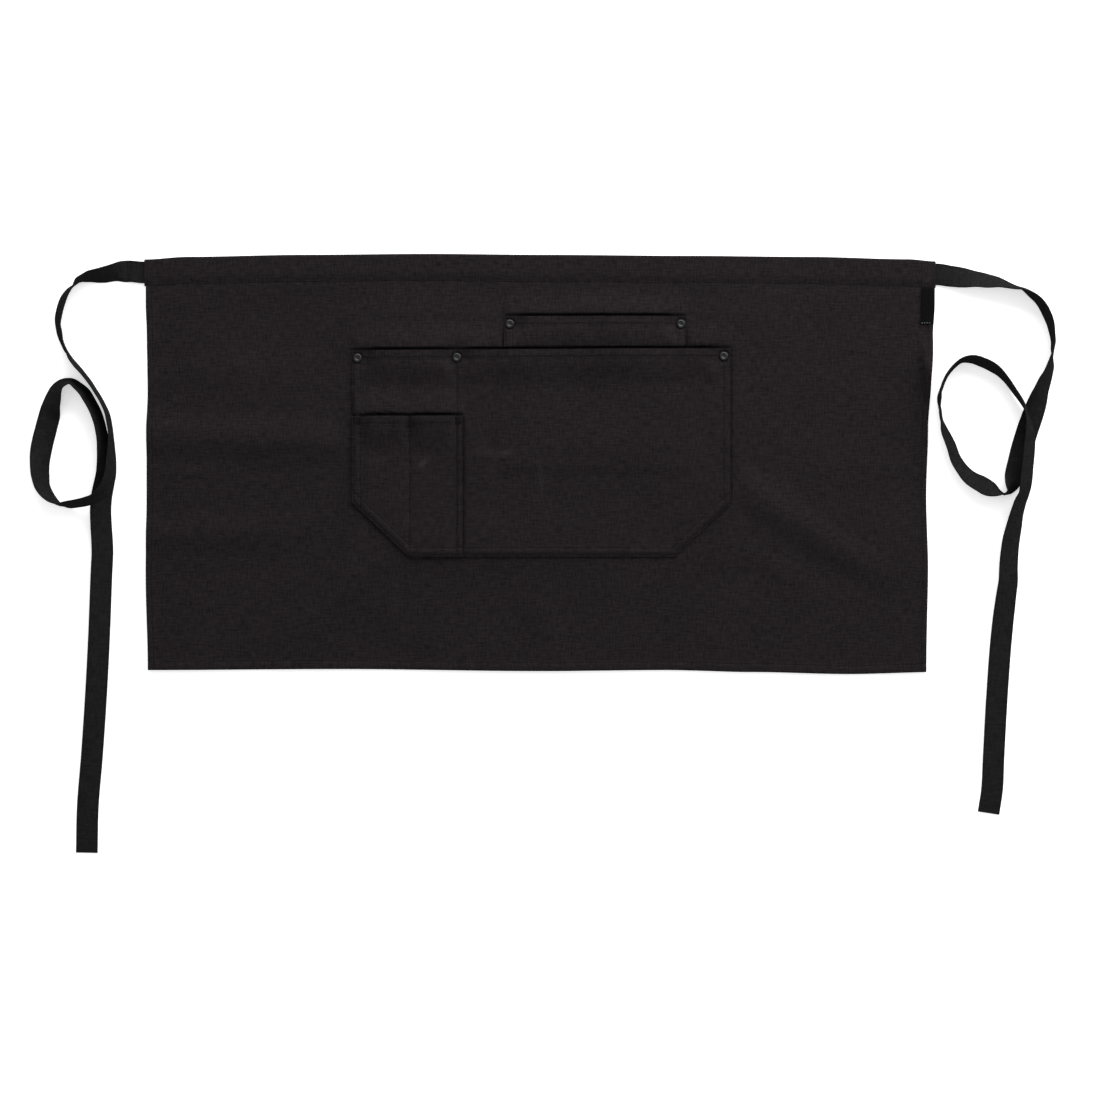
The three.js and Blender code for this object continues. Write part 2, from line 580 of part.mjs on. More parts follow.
function penUnder(x, y) {
  const [fromLeft, , ...fromFoot] = sewnEdges(PEN, x, y);
  const seams = [fromLeft, ...fromFoot, Math.abs(x - PEN_SEAM) - SEAM, DIVIDER - x - SEAM];
  return mainTop(x, y) + SEAM + standOff(seams, PEN.mouth(x) - y, GAPE_DEPTH, x, y);
}
const penTop = (x, y) => penUnder(x, y) + CLOTH + hemmed(PEN, x, y);

// Pieces


function rivetHole(rivet) {
  const radius = SHANK_RADIUS + SEAM;
  const hole = new THREE.CylinderGeometry(radius, radius, DRILL, RIVET_FACETS);
  return hole.rotateX(Math.PI / 2).translate(rivet.x, rivet.y, 0);
}

// The panel's corners are cut out where the ties go into the waistband.
function apronPanel() {
  const fieldLeft = () => FIELD.left;
  const fieldRight = () => FIELD.right;
  const leftInner = shift(leftSide, SIDE_HEM + CLOTH);
  const rightInner = shift(rightSide, -SIDE_HEM - CLOTH);
  const columns = [
    leftSide,
    shift(leftSide, SIDE_HEM),
    leftInner,
    ...steps(leftInner, fieldLeft, PANEL_SIDE_STEPS),
    ...steps(fieldLeft, fieldRight, PANEL_FIELD_STEPS),
    ...steps(fieldRight, rightInner, PANEL_SIDE_STEPS),
    shift(rightSide, -SIDE_HEM),
    rightSide,
  ];
  const bandFoot = shift(topLine, -BAND_HEIGHT - SEAM);
  const hemTop = shift(bottomLine, BOTTOM_HEM + CLOTH);
  const rows = [
    shift(topLine, -TUCK_DOWN),
    bandFoot,
    ...steps(bandFoot, FIELD.mouth, PANEL_UPPER_STEPS),
    ...steps(FIELD.mouth, FIELD.foot, PANEL_FIELD_ROWS),
    ...steps(FIELD.foot, hemTop, PANEL_LOWER_STEPS),
    shift(bottomLine, BOTTOM_HEM),
    bottomLine,
  ];
  const cloth = layer(columns, rows, panelTop, panelUnder);
  const notch = (side) => {
    const end = (side * BAND_LENGTH) / 2;
    const lowest = topLine(end) - TUCK_DOWN - TIE_WIDTH - SEAM;
    const box = new THREE.BoxGeometry(2 * (TIE_TUCK + SEAM), 2 * BAND_HEIGHT, DRILL);
    return box.translate(end, lowest + BAND_HEIGHT, 0);
  };
  const tools = [notch(-1), notch(1), ...RIVETS.map(rivetHole)];
  return piece("apron_panel", cut(cloth, tools), TWILL);
}

// The waistband is one strip folded over the panel's raw top edge.
function waistband() {
  const radius = BAND_THICK / 2;
  const fold = spaced(Math.PI / 2, -Math.PI / 2, BAND_FOLD_STEPS);
  const stations = [
    { y: -BAND_HEIGHT, angle: Math.PI / 2 },
    ...fold.map((angle) => ({ y: -radius, angle })),
    { y: -BAND_HEIGHT, angle: -Math.PI / 2 },
  ];
  const xs = spaced(-BAND_LENGTH / 2, BAND_LENGTH / 2, BAND_STEPS);
  const face = (r) => (i, j) => {
    const { y, angle } = stations[i];
    return [xs[j], topLine(xs[j]) + y + r * Math.cos(angle), radius + r * Math.sin(angle)];
  };
  const strip = wall(stations.length, xs.length, face(radius), face(radius - CLOTH));
  return piece("waistband", strip, TWILL);
}

// A patch pocket. bends are the columns where its form changes, besides the sewn
// strips and the pressed rounds of its rivets.
function patchPocket(name, pocket, bends, top, under) {
  const { left, right, mouth, foot } = pocket;
  const rivets = RIVETS.filter((rivet) => rivet.of === pocket);
  const pressed = rivets.flatMap((rivet) => [rivet.x - CAP_CLEAR, rivet.x + CAP_CLEAR]);
  const own = [
    left,
    left + SEWN_STRIP,
    ...bends,
    ...pressed.filter((x) => x > left && x < right),
    right - SEWN_STRIP,
    right,
  ];
  const apart = (x) => own.every((line) => Math.abs(line - x) > GAPE_RUN / 3);
  const extra = spaced(left, right, Math.round((right - left) / POCKET_FACET)).filter(apart);
  const columns = ordered([...own, ...extra]).map((x) => () => x);
  const hemFoot = shift(mouth, -MOUTH_HEM - CLOTH);
  const closed = shift(mouth, -GAPE_DEPTH);
  const swelled = shift(foot, SEWN_STRIP + GAPE_RUN);
  const rows = [
    mouth,
    shift(mouth, -MOUTH_HEM),
    hemFoot,
    ...lines(hemFoot, closed, CLOSING_ROWS),
    ...steps(closed, swelled, POCKET_BODY_ROWS + 1),
    shift(foot, SEWN_STRIP + GAPE_RUN / 2),
    shift(foot, SEWN_STRIP),
    foot,
  ];
  return piece(name, cut(layer(columns, rows, top, under), rivets.map(rivetHole)), TWILL);
}

// A rivet: flange under the cloth, shank through it, domed cap with a dimple.
function rivetPiece(rivet) {
  const top = rivet.of === MAIN ? mainTop : upperTop;
  const seat = top(rivet.x, rivet.y) + SEAM;
  const capPoint = ({ radius, height }) => [radius * CAP_RADIUS, seat + height * CAP_HEIGHT];
  const profile = [
    [0, 0],
    [FLANGE_RADIUS, 0],
    [FLANGE_RADIUS, FLANGE],
    [SHANK_RADIUS, FLANGE],
    [SHANK_RADIUS, seat],
    ...CAP_PROFILE.map(capPoint),
  ];
  const points = profile.map(([r, z]) => new THREE.Vector2(r, z));
  const turned = new THREE.LatheGeometry(points, RIVET_FACETS).rotateX(Math.PI / 2);
  return piece(rivet.name, turned.translate(rivet.x, rivet.y, 0), GUNMETAL);
}

// The label is sewn over the right side hem, just under the waistband.
function sideLabel() {
  const from = shift(topLine, -BAND_HEIGHT - SEAM);
  const columns = [LABEL_WIDTH, LABEL_WIDTH - SIDE_HEM, 0].map((d) => shift(rightSide, -d));
  const rows = spaced(0, LABEL_HEIGHT, LABEL_STEPS).map((d) => shift(from, -d));
  const under = (x, y) => panelUnder(x, y) + CLOTH + TURNING + SEAM;
  const top = (x, y) => under(x, y) + LABEL_CLOTH;
  return piece("side_label", layer(columns, rows, top, under), SATIN);
}

// A tie is a flat strip that rolls about its own middle line and always keeps its
// lower edge on the table, or lifted where it passes over itself.
function tie(name, side, reach, fall, route) {
  const end = (side * BAND_LENGTH) / 2;
  const rootY = topLine(end) - TUCK_DOWN - TIE_WIDTH / 2;
  const at = (out, down, turn, lift) => ({ x: end + side * out, y: rootY - down, turn, lift });
  const slotLift = SLOT_FLOOR / TIE_WIDTH;
  const stations = [
    at(-TIE_TUCK, 0, 0, slotLift),
    at(0, 0, 0, slotLift),
    at(SEAM + CLOTH, 0, 0, slotLift),
    ...route.map((row) => at(row.out * reach, row.fall * fall, row.turn, row.lift)),
  ];
  const through = (one, other) => {
    const points = stations.map((s) => new THREE.Vector3(s[one], s[other], 0));
    return new THREE.CatmullRomCurve3(points, false, "centripetal");
  };
  const middle = through("x", "y");
  const roll = through("turn", "lift");
  const samples = [];
  for (const k of upTo(stations.length - 1)) {
    const [here, next] = [stations[k], stations[k + 1]];
    const length = Math.hypot(next.x - here.x, next.y - here.y);
    const count = Math.max(1, Math.round(length / TIE_STEP));
    for (const i of upTo(count)) samples.push((k + i / count) / (stations.length - 1));
  }
  samples.push(1);
  const sections = samples.map((t) => {
    const point = middle.getPoint(t);
    const heading = middle.getTangent(t);
    const { x: degrees, y: lift } = roll.getPoint(t);
    const turn = THREE.MathUtils.degToRad(degrees);
    const [cos, sin] = [Math.cos(turn), Math.sin(turn)];
    const across = new THREE.Vector3(-heading.y * cos, heading.x * cos, sin);
    const normal = new THREE.Vector3().crossVectors(heading, across).normalize();
    const rise = (TIE_WIDTH * Math.abs(sin) + TIE_CLOTH * Math.abs(cos)) / 2;
    point.z = Math.max(0, lift) * TIE_WIDTH + rise;
    return { point, across, normal };
  });
  const face = (offset) => (i, j) => {
    const { point, across, normal } = sections[j];
    const place = point.clone().addScaledVector(across, (i - 0.5) * TIE_WIDTH);
    return place.addScaledVector(normal, offset).toArray();
  };
  const half = TIE_CLOTH / 2;
  return piece(name, wall(2, sections.length, face(half), face(-half)), TAPE);
}

const apron = new THREE.Group();
apron.add(apronPanel());
apron.add(waistband());
const upperBends = [UPPER.left + SEWN_STRIP + GAPE_RUN / 2, UPPER.right - SEWN_STRIP - GAPE_RUN / 2];
apron.add(patchPocket("upper_pocket", UPPER, upperBends, upperTop, upperUnder));
const mainBends = [
  MAIN.left + CORNER_WIDTH,
  MAIN.right - CORNER_WIDTH,
  DIVIDER,
  UPPER.left - DRAPE,
  UPPER.left - SEAM,
  UPPER.right + SEAM,
  UPPER.right + DRAPE,
];
apron.add(patchPocket("main_pocket", MAIN, mainBends, mainTop, mainUnder));
const penBends = [
  PEN_SEAM - CAP_CLEAR,
  PEN_SEAM,
  PEN_SEAM + CAP_CLEAR,
  DIVIDER - CAP_CLEAR,
  DIVIDER,
];
apron.add(patchPocket("pen_pocket", PEN, penBends, penTop, penUnder));
for (const rivet of RIVETS) apron.add(rivetPiece(rivet));
apron.add(sideLabel());
apron.add(tie("tie_left", -1, LEFT_REACH, LEFT_FALL, LEFT_ROUTE));
apron.add(tie("tie_right", 1, RIGHT_REACH, RIGHT_FALL, RIGHT_ROUTE));

// The origin is the middle of the apron's footprint on the table.
const box = new THREE.Box3().setFromObject(apron);
const middle = box.getCenter(new THREE.Vector3());
apron.position.set(-middle.x, -middle.y, -box.min.z);

export default apron;
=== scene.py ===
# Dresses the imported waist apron: a black twill panel with a folded waistband, riveted
# patch pockets, a plain side label and two loose ties, laid out on a white table.
import math

import bmesh
import bpy
import numpy as np
from mathutils import Matrix, Vector, noise


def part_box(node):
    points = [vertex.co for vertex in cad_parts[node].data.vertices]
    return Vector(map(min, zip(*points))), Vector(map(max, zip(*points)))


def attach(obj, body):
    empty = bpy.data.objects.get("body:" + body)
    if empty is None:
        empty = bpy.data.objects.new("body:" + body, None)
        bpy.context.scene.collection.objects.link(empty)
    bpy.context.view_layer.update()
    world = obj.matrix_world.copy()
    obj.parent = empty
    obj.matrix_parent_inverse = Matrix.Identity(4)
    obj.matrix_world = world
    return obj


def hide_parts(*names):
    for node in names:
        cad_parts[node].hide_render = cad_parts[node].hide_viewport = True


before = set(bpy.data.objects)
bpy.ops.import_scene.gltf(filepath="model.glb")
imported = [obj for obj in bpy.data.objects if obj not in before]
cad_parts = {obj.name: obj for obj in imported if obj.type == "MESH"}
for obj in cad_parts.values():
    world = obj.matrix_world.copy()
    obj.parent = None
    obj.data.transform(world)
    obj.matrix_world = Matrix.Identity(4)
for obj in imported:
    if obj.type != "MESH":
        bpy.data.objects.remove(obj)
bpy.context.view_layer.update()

# Camera, table and light
# The apron lies on a seamless white table. One wide soft light stands beyond the waist,
# and the camera looks straight down on the middle of the picture from 3.1 m.

VIEW_WIDTH = 1.113  # what the picture spans, in metres
LENS = 100
SENSOR = 36
VIEW_MIDDLE = (0.0078, 0.0035)

camera = bpy.data.objects.new("camera", bpy.data.cameras.new("camera"))
camera.data.lens = LENS
camera.data.sensor_width = SENSOR
camera.location = (*VIEW_MIDDLE, VIEW_WIDTH * LENS / SENSOR)
bpy.context.scene.collection.objects.link(camera)
bpy.context.scene.camera = camera
bpy.context.scene.view_settings.view_transform = "Standard"


def add(tree, kind, settings=(), links=()):
    """Adds a node to a material; settings and links name its sockets or its own fields."""
    node = tree.nodes.new(kind)
    for key, value in dict(settings).items():
        if isinstance(key, int) or key in node.inputs:
            node.inputs[key].default_value = value
        else:
            setattr(node, key, value)
    for key, source in dict(links).items():
        tree.links.new(source, node.inputs[key])
    return node


def colour(code):
    """An sRGB hex value as linear red, green, blue and 1."""
    parts = [int(code[k : k + 2], 16) / 255 for k in (0, 2, 4)]
    return (*((p / 12.92 if p <= 0.04045 else ((p + 0.055) / 1.055) ** 2.4) for p in parts), 1)


def material(name, **settings):
    """A new material, its node tree and its surface shader."""
    made = bpy.data.materials.new(name)
    made.use_nodes = True
    shader = made.node_tree.nodes["Principled BSDF"]
    for key, value in settings.items():
        shader.inputs[key.replace("_", " ")].default_value = value
    return made, made.node_tree, shader


def blend(tree, low, high, share):
    """Mixes two colours by a share; each is a hex value or another node's output."""
    mixed = add(tree, "ShaderNodeMix", {"data_type": "RGBA"}, {0: share})
    for socket, source in ((6, low), (7, high)):
        if isinstance(source, str):
            mixed.inputs[socket].default_value = colour(source)
        else:
            tree.links.new(source, mixed.inputs[socket])
    return mixed.outputs[2]


# Painted white board: matt, with a faint mottle, lit so that it shows as plain white.
board, tree, shader = material(
    "white_table_board", Roughness=0.8, Emission_Color=(1, 1, 1, 1), Emission_Strength=0.45
)
where = add(tree, "ShaderNodeTexCoord")
mottle = add(tree, "ShaderNodeTexNoise", {"Scale": 6}, {"Vector": where.outputs["Object"]})
tint = blend(tree, "f6f6f6", "fbfbfb", mottle.outputs[0])
tree.links.new(tint, shader.inputs["Base Color"])
bm = bmesh.new()
bmesh.ops.create_grid(bm, x_segments=2, y_segments=2, size=14)
table = bpy.data.objects.new("table", bpy.data.meshes.new("table"))
bm.to_mesh(table.data)
bm.free()
table.data.materials.append(board)
bpy.context.scene.collection.objects.link(table)

# The light stands low, so that it models the folds; the dome fills and leaves creases dark.
light = bpy.data.objects.new("soft_light", bpy.data.lights.new("soft_light", "AREA"))
light.data.shape = "RECTANGLE"
light.data.size, light.data.size_y = 4.0, 1.5
light.data.energy = 96
light.location = (0.7, 1.75, 1.0)
light.rotation_euler = (Vector((0, 0, 0)) - light.location).to_track_quat("-Z", "Y").to_euler()
bpy.context.scene.collection.objects.link(light)
dome = bpy.data.worlds.new("studio")
dome.use_nodes = True
dome.node_tree.nodes["Background"].inputs["Color"].default_value = (1, 1, 1, 1)
dome.node_tree.nodes["Background"].inputs["Strength"].default_value = 0.66
bpy.context.scene.world = dome

# Apron panel
# One piece of black polyester and cotton twill, 800 x 422 mm, with narrow side hems and
# a bottom hem turned up and stitched. It lies on the table and its pockets' rivets.

BAND_LENGTH, BAND_HEIGHT, PANEL_DROP = 800, 27, 422
CLOTH, TURNING, SEAM, TIE_CLOTH = 1.0, 0.7, 0.3, 1.2
SIDE_HEM, BOTTOM_HEM, SETTLE = 7, 9.5, 22
FOLD_HEIGHT, FOLD_WIDTH = 4, 26
POCKET_LIFT = 1.1  # rivet flanges hold the panel off the table
SLOT_FLOOR = CLOTH + SEAM
HALF = BAND_LENGTH / 2
# The four edges: a share of the way along each, and how far it strays there as a share of
# the band's height, the drop or the band's length.
TOP_LINE = [
    (0, 0.21), (0.055, 0.112), (0.2, 0.037), (0.358, 0), (0.51, 0.037),
    (0.69, 0.075), (0.84, 0.112), (0.965, 0.2), (1, 0.28),
]
BOTTOM_LINE = [
    (0, -0.0024), (0.25, -0.0048), (0.5, 0), (0.66, -0.0024), (0.77, 0.0024),
    (0.89, 0.0072), (1, 0.0024),
]
LEFT_LINE = [
    (0, 0.0018), (0.12, 0.0018), (0.2, 0.0032), (0.32, 0.0043), (0.42, 0.003),
    (0.58, 0.003), (0.76, 0.0018), (1, 0.0045),
]
RIGHT_LINE = [
    (0, 0.0012), (0.12, 0.0012), (0.2, 0.0034), (0.32, 0.0066), (0.42, 0.0095),
    (0.58, 0.0118), (0.76, 0.0096), (1, 0.0116),
]
# Soft folds beside the pockets: from along, down to along, down, then height and width.
FOLDS = [
    (0, 0.43, 0.3, 0.46, 1.1, 1.1),
    (0, 0.67, 0.2, 0.67, 0.55, 0.9),
    (0, 0.29, 0.16, 0.28, 0.3, 0.9),
    (0.745, 0.545, 0.935, 0.775, 1, 1),
    (0.72, 0.68, 0.83, 0.79, 0.35, 0.7),
    (0.3, 0.68, 0.18, 0.97, 0.6, 0.9),
    (1.0, 0.275, 0.98, 0.275, 2.5, 1.55),
    (0.92, 0.055, 0.95, 0.1, 0.4, 0.3),
    (0.5, 0.86, 0.52, 1, 0.4, 1),
]
# The pockets: sides, depth and cut corners, then the levels of their mouths and foot.
CORNER, STRIP = (58, 55), 7.6
MAIN_MOUTH, MOUTH_RISE, UPPER_MOUTH, PEN_BELOW, FOOT = -97, 2, -63.5, 66.5, -306
MAIN = {"left": -190, "right": 194, "deep": 209, "corner": CORNER}
MAIN_WIDTH, MAIN_MIDDLE = MAIN["right"] - MAIN["left"], (MAIN["left"] + MAIN["right"]) / 2
DIVIDER, PEN_SEAM = MAIN["left"] + 106, MAIN["left"] + CORNER[0]
PEN = {
    "left": MAIN["left"],
    "right": DIVIDER + STRIP,
    "deep": MAIN["deep"] - PEN_BELOW,
    "corner": CORNER,
}
UPPER = {"left": -36, "right": 148, "deep": 150, "corner": None}
# left, right, top and foot of the panel's part that the pockets hold down
FIELD = (MAIN["left"] - SEAM, MAIN["right"] + SEAM, UPPER_MOUTH + SEAM, FOOT - SEAM)
PUFF, PUFF_LEAST = 1.7, 2.5  # how high the cloth behind a mouth puffs up, open and at rivets
PUFF_FROM, PUFF_RUN, PUFF_OVER, PUFF_FALL = 1.3, 2, 4.2, 27  # where it rises and sinks again

# The apron's own millimetres start at the middle of its top line.
band_low, band_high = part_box("waistband")
ORIGIN = Vector((band_low.x + HALF / 1000, band_high.y, 0))


def place(x, y, z):
    """The apron's own millimetres as a point of the frame."""
    return ORIGIN + Vector((x, y, z)) / 1000


def own(point):
    """x and y in the apron's own millimetres."""
    return ((point - ORIGIN) * 1000).xy


def smooth(t):
    t = min(1.0, max(0.0, t))
    return t * t * (3 - 2 * t)


def follow(rows, t):
    """The second column of a table at t of the first, eased from row to row."""
    for (a, low), (b, high) in zip(rows, rows[1:]):
        if t <= b:
            break
    return low + (high - low) * smooth((t - a) / (b - a))


def top_line(x):
    return -BAND_HEIGHT * follow(TOP_LINE, x / BAND_LENGTH + 0.5)


def bottom_line(x):
    return -PANEL_DROP * (1 + follow(BOTTOM_LINE, x / BAND_LENGTH + 0.5))


def left_side(y):
    return BAND_LENGTH * (follow(LEFT_LINE, -y / PANEL_DROP) - 0.5)


def right_side(y):
    return BAND_LENGTH * (0.5 - follow(RIGHT_LINE, -y / PANEL_DROP))


def drift(x, y):
    """Small waves that all the layers share, so that they keep their distance."""
    slow = noise.noise(Vector((x / 95, y / 70, 0.4)))
    quick = noise.noise(Vector((x / 34 + 7, y / 26, 2.1)))
    return 1.4 + 1.9 * slow + 0.4 * quick


def inside(area, x, y, run):
    """1 inside left, right, top and foot, easing to 0 over run outside them."""
    left, right, top, foot = area
    dx = max(left - x, x - right, 0)
    dy = max(y - top, foot - y, 0)
    return smooth(1 - math.hypot(dx, dy) / run)


def main_mouth(x):
    return MAIN_MOUTH + MOUTH_RISE * (x - MAIN_MIDDLE) / MAIN_WIDTH


MAIN["mouth"] = main_mouth
PEN["mouth"] = lambda x: main_mouth(x) - PEN_BELOW
UPPER["mouth"] = lambda x: UPPER_MOUTH
RIVETS = {
    "rivet_main_left": (MAIN["left"] + 5.5, MAIN),
    "rivet_main_middle": (DIVIDER, MAIN),
    "rivet_main_right": (MAIN["right"] - 8.3, MAIN),
    "rivet_upper_left": (UPPER["left"] + 5.5, UPPER),
    "rivet_upper_right": (UPPER["right"] - 5.5, UPPER),
}
RIVET_DOWN = 7.6  # below the mouth
RIVET_AT = {name: (x, pocket["mouth"](x) - RIVET_DOWN) for name, (x, pocket) in RIVETS.items()}
CAP_CLEAR = 7  # round each rivet the layers stay pressed together


def held(x, y, run):
    """0 at a rivet, 1 from a run away from its pressed round."""
    near = min(math.hypot(x - rx, y - ry) for rx, ry in RIVET_AT.values())
    return smooth((near - CAP_CLEAR) / run)


def puff(pocket, x, y):
    """The cloth behind a mouth sinks right at the mouth's edge and puffs up beyond it."""
    above = y - pocket["mouth"](x)
    inner = min(x - pocket["left"], pocket["right"] - x)
    if above <= 0 or above > PUFF_OVER + PUFF_FALL or inner <= 0:
        return 0
    shape = smooth((above - PUFF_FROM) / PUFF_RUN) * (1 - smooth((above - PUFF_OVER) / PUFF_FALL))
    uneven = 0.9 + 0.7 * noise.noise(Vector((x / 33, 0.5, 9)))
    open_part = PUFF * uneven * smooth(inner / 26) * held(x, y, 16)
    return shape * (PUFF_LEAST * smooth(inner / 2.5) + open_part)


def fold_height(x, y):
    height = 0
    for a, b, c, d, tall, wide in FOLDS:
        start = Vector(((a - 0.5) * BAND_LENGTH, -b * PANEL_DROP))
        run = Vector(((c - 0.5) * BAND_LENGTH, -d * PANEL_DROP)) - start
        step = Vector((x, y)) - start
        share = min(1, max(0, step.dot(run) / run.length_squared))
        away = (step - run * share).length + 4 * noise.noise(Vector((x / 45, y / 45, a)))
        ending = smooth((1 - share) / 0.45 + 0.3)
        height = max(height, tall * ending * smooth(1 - away / (wide * FOLD_WIDTH)))
    return FOLD_HEIGHT * height


def panel_under(x, y):
    below = top_line(x) - BAND_HEIGHT - y
    from_band = SLOT_FLOOR * smooth(1 - below / SETTLE)
    field = inside(FIELD, x, y, SETTLE)
    open_cloth = smooth(below / SETTLE)
    height = max(from_band, POCKET_LIFT * field) + fold_height(x, y) * open_cloth * (1 - field)
    # the upper pocket covers the rest of the cloth behind the main mouth
    beside = max(smooth((UPPER["left"] - x) / 3), smooth((x - UPPER["right"]) / 3))
    return height + drift(x, y) * open_cloth + puff(UPPER, x, y) + puff(MAIN, x, y) * beside


def seam(x, y, distances, depth=0.75):
    """What rows of stitching do to a cloth's face: each pulls in a groove and puckers."""
    nearest = min(abs(d) for d in distances)
    groove = depth * math.exp(-((nearest / 0.85) ** 2))
    pucker = 0.22 * noise.noise(Vector((x / 6, y / 6, 5))) * math.exp(-((nearest / 7) ** 2))
    return pucker - groove


def step_down(distance, strip):
    """The extra thickness of a turned hem, easing out over a millimetre at its inner edge."""
    return TURNING * (1 - smooth((distance - strip) / 1.2 + 0.5))


HEM_ROWS = {"side": 5.6, "bottom": 8.3}


def panel_top(x, y):
    edge = min(x - left_side(y), right_side(y) - x)
    foot = y - bottom_line(x)
    below = top_line(x) - BAND_HEIGHT - y
    hem = max(step_down(edge, SIDE_HEM), step_down(foot, BOTTOM_HEM)) * smooth(below / 3)
    rows = [edge - HEM_ROWS["side"], foot - HEM_ROWS["bottom"]]
    return panel_under(x, y) + CLOTH + hem + seam(x, y, rows) * smooth(below / 3)


CLOSER = (-1.6, -0.7, 0, 0.7, 1.6)  # grid places round a key place
LEAST_STEP = 0.32  # and no two grid places lie closer


def stations(low, high, keys, step, exact=()):
    """Grid places about a step apart, with closer ones at each key place."""
    fine = sorted({low, high, *exact, *(k + d for k in keys for d in CLOSER)})
    fine = [v for v in fine if low <= v <= high]
    kept = [low]
    for v in fine[1:]:
        if v - kept[-1] < LEAST_STEP:
            continue
        count = max(1, round((v - kept[-1]) / step))
        kept += list(np.linspace(kept[-1], v, count + 1)[1:])
    kept[-1] = high
    return kept


def finished(name, bm, finish, slot, *nodes):
    """Makes the piece from its mesh, rides it on the frame and hides what it stands for."""
    for face in bm.faces:
        face.smooth = True
    mesh = bpy.data.meshes.new(name)
    bm.to_mesh(mesh)
    bm.free()
    piece = bpy.data.objects.new(name, mesh)
    mesh.materials.append(finish)
    bpy.context.scene.collection.objects.link(piece)
    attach(piece, "root")
    if nodes:
        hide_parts(*nodes)
    return piece


def plan_uv(bm):
    """A UV map in metres of the flat cloth."""
    layer = bm.loops.layers.uv.new("cloth")
    for face in bm.faces:
        for loop in face.loops:
            loop[layer].uv = loop.vert.co.xy


def cloth(us, vs, plan, under, top):
    """A wall of cloth over a grid: plan(u, v) is its place, under and top its heights."""
    bm = bmesh.new()
    bmesh.ops.create_grid(bm, x_segments=len(us) - 1, y_segments=len(vs) - 1, size=0.5)
    for vert in bm.verts:
        u = us[round((vert.co.x + 0.5) * (len(us) - 1))]
        v = vs[round((vert.co.y + 0.5) * (len(vs) - 1))]
        x, y = plan(u, v)
        vert.co = place(x, y, under(x, y))
    raised = bmesh.ops.extrude_face_region(bm, geom=bm.faces[:])
    for vert in raised["geom"]:
        if isinstance(vert, bmesh.types.BMVert):
            x, y = own(vert.co)
            vert.co.z = top(x, y) / 1000
    bmesh.ops.recalc_face_normals(bm, faces=bm.faces[:])
    plan_uv(bm)
    return bm


def soften(piece, width=0.35, segments=2):
    """Rounds the turned edges of a cloth."""
    rounded = piece.modifiers.new("turned_edges", "BEVEL")
    rounded.width = width / 1000
    rounded.segments = segments
    rounded.limit_method = "ANGLE"
    rounded.angle_limit = math.radians(50)
    rounded.harden_normals = False


# Black twill: spun polyester and cotton, dyed in the piece and matt, so it gives no
# highlight. Its threads are 0.4 mm, too fine to show here, so the ribs are drawn 1.7 mm
# apart. Slubs along and across the cloth, lint and pale scuffs break up the black.
def twill(name, dark, lit, uneven=1.0):
    made, tree, shader = material(name, Roughness=0.92, Specular_IOR_Level=0.0)
    where = add(tree, "ShaderNodeUVMap", {"uv_map": "cloth"}).outputs[0]

    def threads(scale, detail=2.0):
        spot = add(tree, "ShaderNodeMapping", {"Scale": scale}, {"Vector": where})
        return add(
            tree,
            "ShaderNodeTexNoise",
            {"Scale": 1.0, "Detail": detail, "Roughness": 0.6},
            {"Vector": spot.outputs[0]},
        ).outputs[0]

    warp = threads((1 / 0.0016, 1 / 0.009, 1))
    weft = threads((1 / 0.011, 1 / 0.0017, 1))
    shade = threads((1 / 0.07, 1 / 0.06, 1), 3.0)
    ribs_at = add(
        tree, "ShaderNodeMapping", {"Rotation": (0, 0, math.radians(38))}, {"Vector": where}
    )
    ribs = add(
        tree,
        "ShaderNodeTexWave",
        {"Scale": math.tau / (20 * 0.0017), "Distortion": 1.2, "Detail Scale": 3.0},
        {"Vector": ribs_at.outputs[0]},
    ).outputs[0]
    both = add(tree, "ShaderNodeMath", {"operation": "ADD"}, {0: warp, 1: weft}).outputs[0]
    woven = add(
        tree, "ShaderNodeMath", {"operation": "MULTIPLY_ADD", 1: 0.22}, {0: ribs, 2: both}
    ).outputs[0]
    broad = add(
        tree, "ShaderNodeMath", {"operation": "MULTIPLY_ADD", 1: 0.2 * uneven}, {0: shade, 2: woven}
    ).outputs[0]
    tone = add(
        tree, "ShaderNodeMapRange", {"From Min": 0.68, "From Max": 1.7}, {"Value": broad}
    ).outputs[0]
    base = blend(tree, dark, lit, tone)
    # lint: single pale fibres a millimetre long, far apart
    flecks = add(
        tree,
        "ShaderNodeTexVoronoi",
        {"Scale": 1 / 0.011, "Randomness": 1.0},
        {"Vector": where},
    )
    lint = add(
        tree,
        "ShaderNodeMapRange",
        {"From Min": 0.085, "From Max": 0.03, "To Max": 0.14},
        {"Value": flecks.outputs["Distance"]},
    ).outputs[0]
    some = add(
        tree, "ShaderNodeMath", {"operation": "GREATER_THAN", 1: 0.92}, {0: flecks.outputs["Color"]}
    ).outputs[0]
    fleck = add(tree, "ShaderNodeMath", {"operation": "MULTIPLY"}, {0: lint, 1: some}).outputs[0]
    linted = blend(tree, base, "6a6566", fleck)
    worn = add(tree, "ShaderNodeAttribute", {"attribute_name": "scuff"}).outputs["Fac"]
    scuffed = blend(tree, linted, "4a4546", worn)
    tree.links.new(scuffed, shader.inputs["Base Color"])
    relief = add(
        tree,
        "ShaderNodeBump",
        {"Strength": 0.55, "Distance": 0.00035},
        {"Height": woven},
    ).outputs[0]
    tree.links.new(relief, shader.inputs["Normal"])
    return made


black_twill = twill("black_cotton_twill", "0e0c0d", "282425")

